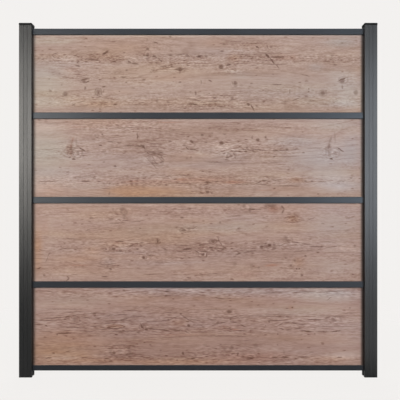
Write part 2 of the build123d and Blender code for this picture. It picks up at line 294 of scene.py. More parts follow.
def board_material(name, seed, gain, calm, drawn, marks, warps):
    """Wood decor on compact laminate: pine grain that parts round the knots, tone fields, knots, dashes and cracks,
    embossed pores, and a dark core at the cut edges.
    Marks are (kind, x, y, half width, half height, turn in degrees, strength) in image pixels."""
    t = new_tree(name)
    p = t.position()
    s = t.xyz(p)
    flat = t.join(s[0], 0.0, s[2])

    # irregular edges for every mark
    rag = t.vec("SUBTRACT", t.noise(t.vec("ADD", flat, (seed, 0, 0)), 50.0, 2.0, 0.55, colour=True), (0.5, 0.5, 0.5))
    ragged = t.vec("ADD", flat, t.vec("MULTIPLY", rag, (0.014, 0.0, 0.008)))

    # grain height: z, parted round the knots
    shift = None
    for px, py, w, h, k in warps:
        c = to_row(px, py)
        d = t.vec("LENGTH", t.place(flat, c, (0, 0, 0), (w * PX, 1.0, h * PX), "TEXTURE"))
        fall = t.remap(d, 0.0, 1.0, k, 0.0, smooth=True)
        move = t.mul(t.math("SUBTRACT", s[2], c[2]), fall)
        shift = move if shift is None else t.add(shift, move)
    sway = t.remap(t.noise(t.place(flat, (seed, 0, 0), scale=(1.6, 1, 6.0)), 1.0, 2.0, 0.5), 0.0, 1.0, -0.005, 0.005, clamp=False)
    z = t.add(s[2], sway)
    if shift is not None:
        z = t.math("SUBTRACT", z, shift)
    g = t.join(s[0], 0.0, z)

    def streak(sx, sz, detail=2.0, rough=0.5, off=0.0, v=None):
        return t.noise(t.place(g if v is None else v, (seed * 1.7 + off, off * 0.37, seed * 0.9), scale=(sx, 1.0, sz)), 1.0, detail, rough)

    def centred(v, gain_):
        return t.math("MULTIPLY_ADD", v, gain_, -0.5 * gain_)

    # Marks of one direction follow each other, so that a turned copy of the coordinates serves them all.
    groups = {}
    turned = {}

    def step_of(turn):
        return round(((turn + 90.0) % 180.0 - 90.0) / 3.0)

    for kind, px, py, w, h, turn, strength in sorted(marks, key=lambda m: (m[0] in SOFT_KINDS, step_of(m[5]))):
        c = to_row(px, py)
        soft = kind in SOFT_KINDS
        step = step_of(turn)
        co, si = math.cos(math.radians(3.0 * step)), math.sin(math.radians(3.0 * step))
        if (soft, step) not in turned:
            base = flat if soft else ragged
            turned[soft, step] = base if step == 0 else t.join(
                t.vec("DOT_PRODUCT", base, (co, 0, si)), 0.0, t.vec("DOT_PRODUCT", base, (-si, 0, co)))
        w, h = w * PX, h * PX
        d = t.vec("LENGTH", t.vec(
            "MULTIPLY_ADD", turned[soft, step], (1 / w, 0, 1 / h),
            (-(c[0] * co + c[2] * si) / w, 0, -(-c[0] * si + c[2] * co) / h),
        ))
        if kind == "whorl":
            wave = t.mul(t.math("SINE", t.math("MULTIPLY_ADD", d, 12.5, 0.9 * px)), t.remap(d, 0.25, 1.0, strength, 0.0, smooth=True))
            for way, part in (("dark", wave), ("light", t.mul(wave, -0.9))):
                groups[way] = part if groups.get(way) is None else t.math("MAXIMUM", groups[way], part)
            continue
        v = t.remap(d, 0.35 if kind == "mottle" else 0.0 if soft else 0.30, 1.0, strength, 0.0, smooth=True)
        old = groups.get(kind)
        groups[kind] = v if old is None else t.math("ADD" if kind in ("tan", "grey", "beige", "shade", "glow", "mottle") else "MAXIMUM", old, v)

    short = streak(30.0, 190.0, 1.0, 0.5, 23.0)
    longer = streak(8.0, 130.0, 2.0, 0.55, 31.0)
    band = streak(2.6, 40.0, 2.0, 0.5, 11.0)
    broad = streak(1.3, 11.0, 2.0, 0.5, 3.0)
    hair = streak(10.0, 250.0, 1.0, 0.5, 47.0)
    fleck = t.noise(t.place(ragged, (seed, 0, 0), scale=(drawn, 1, 200.0)), 1.0, 1.0, 0.5)
    busy = t.remap(streak(2.4, 17.0, 1.0, 0.5, 71.0), 0.40, 0.64, calm, calm + 0.25, smooth=True)
    busy = t.math("MINIMUM", t.add(busy, groups["mottle"]), 1.25)
    amp = t.remap(busy, 0.0, 1.0, 0.26, 1.0, clamp=False)

    # lightness, 0 dark to 1 light
    fine = t.add(t.add(centred(short, 0.75), centred(hair, 0.50)), centred(longer, 0.18))
    v = t.add(0.5, t.mul(centred(fleck, 1.02), busy))
    v = t.add(v, t.mul(fine, amp))
    v = t.add(v, centred(band, 0.15))
    v = t.add(v, centred(broad, 0.22))
    if groups.get("shade") is not None:
        v = t.math("SUBTRACT", v, groups["shade"])
    if groups.get("glow") is not None:
        v = t.add(v, groups["glow"])

    # long growth lines
    ring_field = streak(0.8, 6.0, 1.0, 0.4, 41.0)
    rings = t.math("FRACT", t.add(t.mul(ring_field, 16.0), t.mul(z, 14.0)))
    rings = t.mul(t.remap(rings, 0.60, 0.93, 0.0, 1.0, smooth=True), t.remap(rings, 0.93, 1.0, 1.0, 0.0))
    v = t.math("SUBTRACT", v, t.mul(rings, t.remap(broad, 0.4, 0.6, 0.02, 0.11)))

    # specks and short dashes
    speck_at = t.place(ragged, (seed * 2.1, 0, seed * 1.1), scale=(26.0, 1.0, 74.0))
    near = t.cells(speck_at, 1.0, out="Distance")
    pick = t.xyz(t.cells(speck_at, 1.0, out="Color"))[0]
    v = t.math("SUBTRACT", v, t.mul(t.remap(near, 0.12, 0.34, 1.0, 0.0, smooth=True), t.remap(pick, 0.78, 0.96, 0.0, 0.30)))

    # pores of the embossed surface
    pore = t.noise(t.place(g, (seed, 0, 0), scale=(38.0, 1.0, 1050.0)), 1.0, 1.0, 0.5)
    pores = t.remap(pore, 0.60, 0.72, 0.0, 1.0)
    v = t.math("SUBTRACT", v, t.mul(pores, 0.07))

    c = t.ramp(v, [
        (0.0, lin(100, 66, 53)), (0.25, lin(144, 112, 98)), (0.5, lin(176, 149, 136)),
        (0.75, lin(195, 173, 161)), (1.0, lin(212, 195, 184)),
    ])

    # hue: a slow drift and the placed fields
    drift = streak(1.1, 9.0, 2.0, 0.5, 61.0)
    c = t.mix(t.remap(drift, 0.50, 0.75, 0.0, 0.58, smooth=True), c, (1.0, 0.945, 0.78, 1), "MULTIPLY")
    c = t.mix(t.remap(drift, 0.50, 0.28, 0.0, 0.68, smooth=True), c, (0.97, 1.03, 1.12, 1), "MULTIPLY")
    if groups.get("tan") is not None:
        c = t.mix(t.mul(groups["tan"], t.remap(band, 0.35, 0.65, 0.75, 1.15)), c, (1.03, 0.875, 0.69, 1), "MULTIPLY")
    if groups.get("grey") is not None:
        c = t.mix(groups["grey"], c, (0.93, 1.07, 1.21, 1), "MULTIPLY")
    if groups.get("beige") is not None:
        c = t.mix(groups["beige"], c, (0.94, 1.08, 1.08, 1), "MULTIPLY")
    if groups.get("red") is not None:
        c = t.mix(t.mul(groups["red"], t.remap(short, 0.35, 0.65, 0.6, 1.15)), c, (0.93, 0.70, 0.60, 1), "MULTIPLY")
    if groups.get("light") is not None:
        c = t.mix(t.mul(groups["light"], t.remap(short, 0.38, 0.62, 0.5, 1.15)), c, (1.22, 1.27, 1.30, 1), "MULTIPLY")
    if groups.get("dark") is not None:
        c = t.mix(t.mul(groups["dark"], t.remap(short, 0.30, 0.62, 0.78, 1.12)), c, (0.40, 0.295, 0.25, 1), "MULTIPLY")
    c = t.mix(1.0, c, (*gain, 1.0), "MULTIPLY")

    # the board's ends lie in shade beside the posts
    def grey_stops(*stops):
        return [(at, (v,) * 3) for at, v in stops]

    shaded = t.ramp(t.remap(s[0], -0.892, -0.866), grey_stops((0.0, 0.10), (0.17, 0.27), (0.38, 0.56), (0.58, 0.86), (0.8, 1.0)))
    shaded = t.vec("MULTIPLY", shaded, t.ramp(t.remap(s[0], 0.892, 0.864), grey_stops((0.0, 0.06), (0.21, 0.14), (0.41, 0.41), (0.6, 0.88), (0.8, 1.0))))
    c = t.mix(1.0, c, shaded, "MULTIPLY")

    # dark core where the board is cut
    ny = t.math("ABSOLUTE", t.xyz(t.new("ShaderNodeTexCoord").outputs["Normal"])[1])
    core_grain = t.noise(t.place(p, scale=(30.0, 900.0, 30.0)), 1.0, 2.0, 0.6)
    core = t.mix(core_grain, lin(26, 22, 19), lin(52, 43, 36))
    c = t.mix(t.remap(ny, 0.55, 0.75), core, c)

    r = t.add(t.remap(longer, 0.3, 0.7, 0.50, 0.60), t.mul(pores, 0.12))
    height = t.math("SUBTRACT", t.mul(hair, 0.6), t.mul(pores, 0.7))
    t.surface(c, r, t.bump(height, 0.00008, 1.0), specular=0.35)
    return t.material


S, D, F, W, K = stroke, spot, field, whorl, knot

TOP = (
    F("mottle", 198, 59, 300, 8, 0.6) + F("mottle", 198, 68, 300, 6, 0.2) + F("mottle", 200, 101, 300, 12, 0.4) + F("mottle", 100, 79, 70, 11, 0.35)
    + F("mottle", 175, 68, 26, 6, 0.3) + F("mottle", 155, 47, 28, 7, 0.35) + F("mottle", 250, 48, 42, 8, 0.45) + F("mottle", 230, 68, 14, 7, 0.5)
    + F("mottle", 215, 106, 80, 7, 0.25) + F("mottle", 110, 104, 32, 7, 0.3) + F("mottle", 300, 90, 62, 9, 0.22) + F("mottle", 348, 79, 16, 8, 0.4)
    + W(98.5, 92.5, 5, 5.6, 0.34, 20) + W(180, 69, 6, 4, 0.25) + W(221, 66.5, 5.5, 3.5, 0.3) + W(84.5, 80, 6, 4, 0.25) + W(323, 93, 6, 5, 0.35)
    + W(343.5, 80, 7, 5, 0.4) + W(235.5, 84, 5, 4.5, 0.35) + W(147.6, 54, 5, 6, 0.35) + W(130, 61, 9, 6, 0.3)
    +     # fields
    # painted sheen: the lighter beige and grey fields at the board's two ends in the next line, and those at x 341 to
    # 352 further down, stand in for the lamps' sheen near the ends
    F("glow", 38, 84, 42, 34, 0.12) + F("beige", 40, 84, 44, 34, 0.7) + F("glow", 352, 90, 34, 26, 0.10) + F("grey", 350, 90, 30, 24, 0.4)
    + F("glow", 190, 84, 190, 12, 0.07) + F("grey", 285, 88, 95, 20, 0.45)
    + F("shade", 175, 56, 125, 15, 0.08) + F("tan", 122, 48, 58, 16, 0.32)
    + F("tan", 100, 105, 32, 7, 0.5) + F("shade", 185, 106, 80, 9, 0.08) + F("tan", 160, 104, 60, 8, 0.2)
    + F("tan", 170, 78, 34, 5, 0.4) + F("tan", 234, 57, 11, 8, 0.45) + F("grey", 240, 74, 22, 8, 0.4)
    + F("red", 293, 57, 9, 6, 0.35) + F("grey", 316, 67.5, 13, 7, 0.6) + F("red", 70, 70, 11, 5, 0.25)
   
   
    + F("shade", 165, 42, 70, 7, 0.05) + F("shade", 246, 43, 50, 9, 0.12) + F("tan", 246, 43, 50, 9, 0.3) + F("shade", 98, 58, 34, 8, 0.15) + F("beige", 50, 41, 44, 7, 0.6) + F("glow", 50, 41, 44, 7, 0.08) + F("grey", 341, 42, 36, 8, 0.4) + F("glow", 341, 76, 26, 10, 0.07) + F("shade", 330, 59, 36, 9, 0.12) + F("tan", 122, 92, 26, 5, 0.2) + F("shade", 262, 58, 60, 8, 0.13) + F("shade", 260, 73, 34, 6, 0.12) + F("red", 284, 57, 20, 6, 0.3) + F("glow", 50, 103, 40, 8, 0.2) + F("grey", 45, 103, 36, 8, 0.3) + F("glow", 345, 103, 30, 9, 0.12) + F("grey", 345, 103, 34, 9, 0.5) + F("glow", 345, 88, 36, 24, 0.08) + F("grey", 345, 88, 36, 24, 0.3)
    + F("glow", 68, 58, 12, 5, 0.08) + F("tan", 102, 58, 38, 7, 0.25) + F("shade", 117, 58, 16, 6, 0.05) + F("glow", 229, 58, 36, 7, 0.06)
    + F("glow", 64, 88, 40, 10, 0.06) + F("glow", 309, 88, 22, 9, 0.07) + F("grey", 309, 96, 24, 12, 0.3) + F("glow", 84, 103, 20, 8, 0.08)
    # painted light: the long thin glow field at y 35 in the next line lightens the board's upper edge where the top
    # rail's shadow falls
    + F("tan", 213, 43, 24, 7, 0.3) + F("shade", 213, 43, 22, 7, 0.04) + F("beige", 341, 43, 22, 8, 0.5) + F("shade", 116, 43, 20, 7, 0.05) + F("grey", 337, 73, 26, 9, 0.35) + F("glow", 197, 35.0, 420, 2.2, 0.30) + F("grey", 318, 103, 34, 8, 0.3) + F("shade", 212, 74, 22, 6, 0.03) + F("glow", 325, 57, 20, 6, 0.08)
    # left part
    + S(1.15, 0.9, (102.3, 54.6), (108.6, 50.4))
    + S(0.5, 0.5, (58, 52), (51.5, 55), (55, 57.5)) + S(0.5, 0.45, (54, 54.8), (63, 54.2), kind="light")
    + S(0.45, 0.38, (34, 61.2), (64, 61.0)) + S(0.4, 0.3, (34, 58.5), (49, 58.4))
    + S(0.8, 0.62, (75, 65.4), (80.5, 66.2)) + S(0.6, 0.55, (85, 59), (98, 59.2)) + S(0.5, 0.35, (79, 58.6), (86, 59))
    + S(0.4, 0.3, (84, 51.2), (99, 51)) + S(0.4, 0.3, (80, 64.2), (98, 64.9)) + S(0.4, 0.25, (84, 46), (101, 47))
    + D(66.5, 56.5, 0.9, 0.7, 0.5) + D(75.5, 55.3, 1.6, 0.7, 0.5) + D(77.3, 62.5, 0.8, 0.9, 0.45)
    + D(49.2, 79, 1.1, 0.7, 0.4) + D(61.5, 84.6, 0.9, 0.6, 0.5) + D(59.5, 73.4, 1.0, 0.9, 0.42)
    + K(50.2, 91, 4.3, 0.34) + D(55.5, 92, 1.6, 1.4, 0.22)
    + D(65.2, 93.8, 2.7, 2.6, 0.56)
    + S(1.1, 0.72, (80, 80.9), (88.8, 77.8)) + S(0.8, 0.62, (84.5, 83), (89.4, 80.4)) + D(84.2, 81.6, 1.9, 1.4, 0.66) + D(85.0, 88.0, 1.1, 1.5, 0.6)
    + S(0.4, 0.35, (76, 79.6), (81, 80.6))
    + D(98.2, 92.6, 2.9, 3.8, 0.44) + D(97.2, 94.4, 1.4, 1.8, 0.52) + D(98.6, 90.6, 1.5, 1.2, 0.46) + S(0.6, 0.6, (97, 89), (99.6, 95.6)) + S(0.5, 0.5, (95, 95.6), (94.8, 91), (96.6, 88.4)) + S(0.5, 0.5, (101.4, 95), (101.6, 90.6), (99.8, 88)) + F("light", 104, 93, 3, 4, 0.35) + S(0.8, 0.62, (101.8, 86.8), (105.6, 86.1))
    + S(0.6, 0.42, (103.2, 93), (104.2, 89))
    + S(0.6, 0.42, (71.5, 106), (75.5, 103), (86, 100.6)) + S(0.6, 0.32, (72, 103.5), (75, 106.5), (90, 105))
    + S(0.8, 0.34, (97, 105), (108, 102)) + S(0.7, 0.7, (112.8, 105), (117.5, 104)) + S(0.5, 0.36, (133, 105.3), (145, 102))
    + D(126, 82.2, 1.3, 0.7, 0.6) + S(0.8, 0.5, (120.5, 76.9), (127, 76.8)) + D(126.4, 70, 1.2, 0.8, 0.5)
    + D(114, 77.3, 1.2, 0.6, 0.35) + D(97.2, 68, 1.3, 0.7, 0.42) + D(124, 52.4, 1.3, 0.8, 0.55) + D(119, 91.3, 0.9, 0.7, 0.5)
    + S(0.5, 0.45, (131, 87.8), (135, 88.1)) + D(143.6, 79.4, 1.8, 0.9, 0.6)
    + S(1.1, 0.55, (127.8, 60.6), (131, 63), (138.5, 64.2)) + D(129, 62, 1.5, 1.4, 0.5)
    # middle
    + D(147.8, 48.5, 1.8, 1.1, 0.8) + D(147.6, 54.5, 1.5, 1.6, 0.5) + D(147.2, 58.5, 1.6, 1.3, 0.45) + D(147, 39.5, 0.7, 1.8, 0.32)
    + S(0.8, 0.6, (152.5, 41.6), (158.5, 43)) + D(170.5, 36.2, 1.3, 0.9, 0.6)
    + D(170.4, 54.7, 2.0, 1.0, 0.62) + S(0.6, 0.45, (176, 54.3), (186, 54), (190, 57.2)) + D(186.5, 55, 1.6, 1.2, 0.4)
    + S(0.9, 0.45, (152.5, 55.2), (158, 58.2), (162.5, 62)) + S(0.5, 0.55, (159, 66.8), (168.5, 65.6))
    + K(153.6, 70, 3.9, 0.40)
    + D(180, 69, 2.5, 2.1, 0.85) + S(0.7, 0.6, (171.5, 69.8), (188.5, 68.4)) + D(172, 66.2, 1.6, 0.8, 0.6) + D(180, 72.3, 0.9, 1.2, 0.4)
    + D(174, 77.2, 1.6, 0.7, 0.5) + D(179.8, 82, 1.3, 0.8, 0.55) + D(173.4, 81.5, 0.7, 0.5, 0.45)
    + D(198.2, 56.3, 2.0, 0.9, 0.5) + D(206.5, 56, 1.5, 1.3, 0.42) + S(0.8, 0.72, (208.4, 79.8), (211.8, 81.6))
    + S(0.6, 0.45, (201, 79.8), (201, 84.6)) + D(221, 66.8, 2.4, 2.1, 0.92) + D(222.6, 68, 1.2, 1.0, 0.5)
    + S(0.9, 0.68, (226.4, 65.1), (230.4, 64.3)) + D(222, 51, 1.9, 0.8, 0.7) + D(223.6, 43.9, 1.6, 0.8, 0.5)
    + D(235.3, 82.8, 2.4, 2.0, 0.72) + D(235.5, 86.4, 1.7, 1.2, 0.42) + S(0.5, 0.4, (231.6, 80.6), (233, 85)) + D(251.5, 83.3, 1.5, 0.7, 0.55)
    + D(195.6, 93.2, 0.9, 2.0, 0.62) + D(190.3, 91.6, 1.4, 0.7, 0.42) + D(209.4, 93.5, 1.0, 0.7, 0.4)
    + S(1.0, 0.6, (186.5, 103.4), (198.5, 104.4)) + D(248.4, 104.2, 1.8, 1.4, 0.8) + D(232, 98, 1.5, 1.7, 0.42)
    + D(157, 100.4, 1.3, 2.7, 0.34) + D(168, 102, 1.3, 0.9, 0.45)
    + S(0.5, 0.5, (186, 98.4), (204, 100.8), (227, 101.2)) + S(0.5, 0.48, (228, 101.2), (240, 97.5)) + S(0.8, 0.8, (186, 96.6), (204, 98.9), (218, 99.4), (230, 98.4), (240, 95.4), kind="light")
    + S(0.7, 0.7, (200, 95.6), (216, 97.2), (230, 96.2), kind="light") + S(0.7, 0.7, (226, 103), (236, 101.4), (250, 101), kind="light") + S(0.5, 0.4, (240, 100), (258, 99.4)) + S(0.8, 0.62, (250.6, 103.6), (254.6, 111.4))
    # right part
    + S(1.05, 0.9, (265.6, 53.6), (269.6, 57.6)) + S(0.8, 0.82, (269.2, 57.2), (275.6, 64.2)) + S(0.6, 0.5, (275.4, 64), (279.4, 68.6))
    + S(0.75, 0.68, (269, 56.9), (284.5, 57.1)) + S(0.75, 0.65, (255.6, 45.6), (259.4, 48.3)) + S(0.6, 0.45, (267, 44.6), (267.3, 48))
    + D(271, 46.9, 0.9, 0.9, 0.42) + S(0.4, 0.38, (250, 52.8), (291, 53)) + S(0.5, 0.42, (249, 66.2), (260, 63.9), (292, 64.4))
    + D(262.6, 62, 1.0, 0.7, 0.5) + S(0.55, 0.65, (270, 84.4), (283.5, 84.3))
    + D(289.8, 91.4, 0.8, 2.0, 0.48) + D(308.7, 88.7, 0.75, 0.65, 0.8) + D(308.8, 91.4, 0.75, 0.65, 0.75) + D(313, 90.2, 1.7, 0.8, 0.35)
    + D(322.8, 93.0, 2.6, 2.6, 0.62) + S(0.6, 0.35, (326, 89), (326, 94.5))
    + S(1.1, 0.7, (338, 81), (346.4, 77.4)) + D(342.4, 81.6, 2.2, 1.6, 0.66) + S(0.7, 0.5, (340, 79.6), (346.6, 81)) + D(342.4, 87, 1.1, 1.7, 0.5)
    + D(356, 92.2, 2.2, 2.6, 0.52) + D(335, 64.8, 2.0, 0.8, 0.5) + D(332.4, 55, 1.6, 0.8, 0.45) + D(313.5, 49.8, 1.2, 0.8, 0.4)
    + S(0.6, 0.4, (281, 102), (291, 101), (301, 97.4)) + S(0.5, 0.45, (308, 101.4), (315, 100.6)) + S(0.5, 0.32, (330, 104), (339, 100))
    + D(256.5, 106, 1.2, 0.8, 0.5) + S(0.45, 0.5, (300, 73.8), (311, 76.5)) + D(273, 74, 1.0, 0.7, 0.4)
)
TOP_WARPS = [(98.5, 92.4, 13, 9, 0.7), (180, 69, 14, 8, 0.7), (221, 66.5, 11, 7, 0.6), (323, 93, 12, 8, 0.6), (84.5, 80.3, 12, 7, 0.6), (147.5, 52, 10, 10, 0.5)]

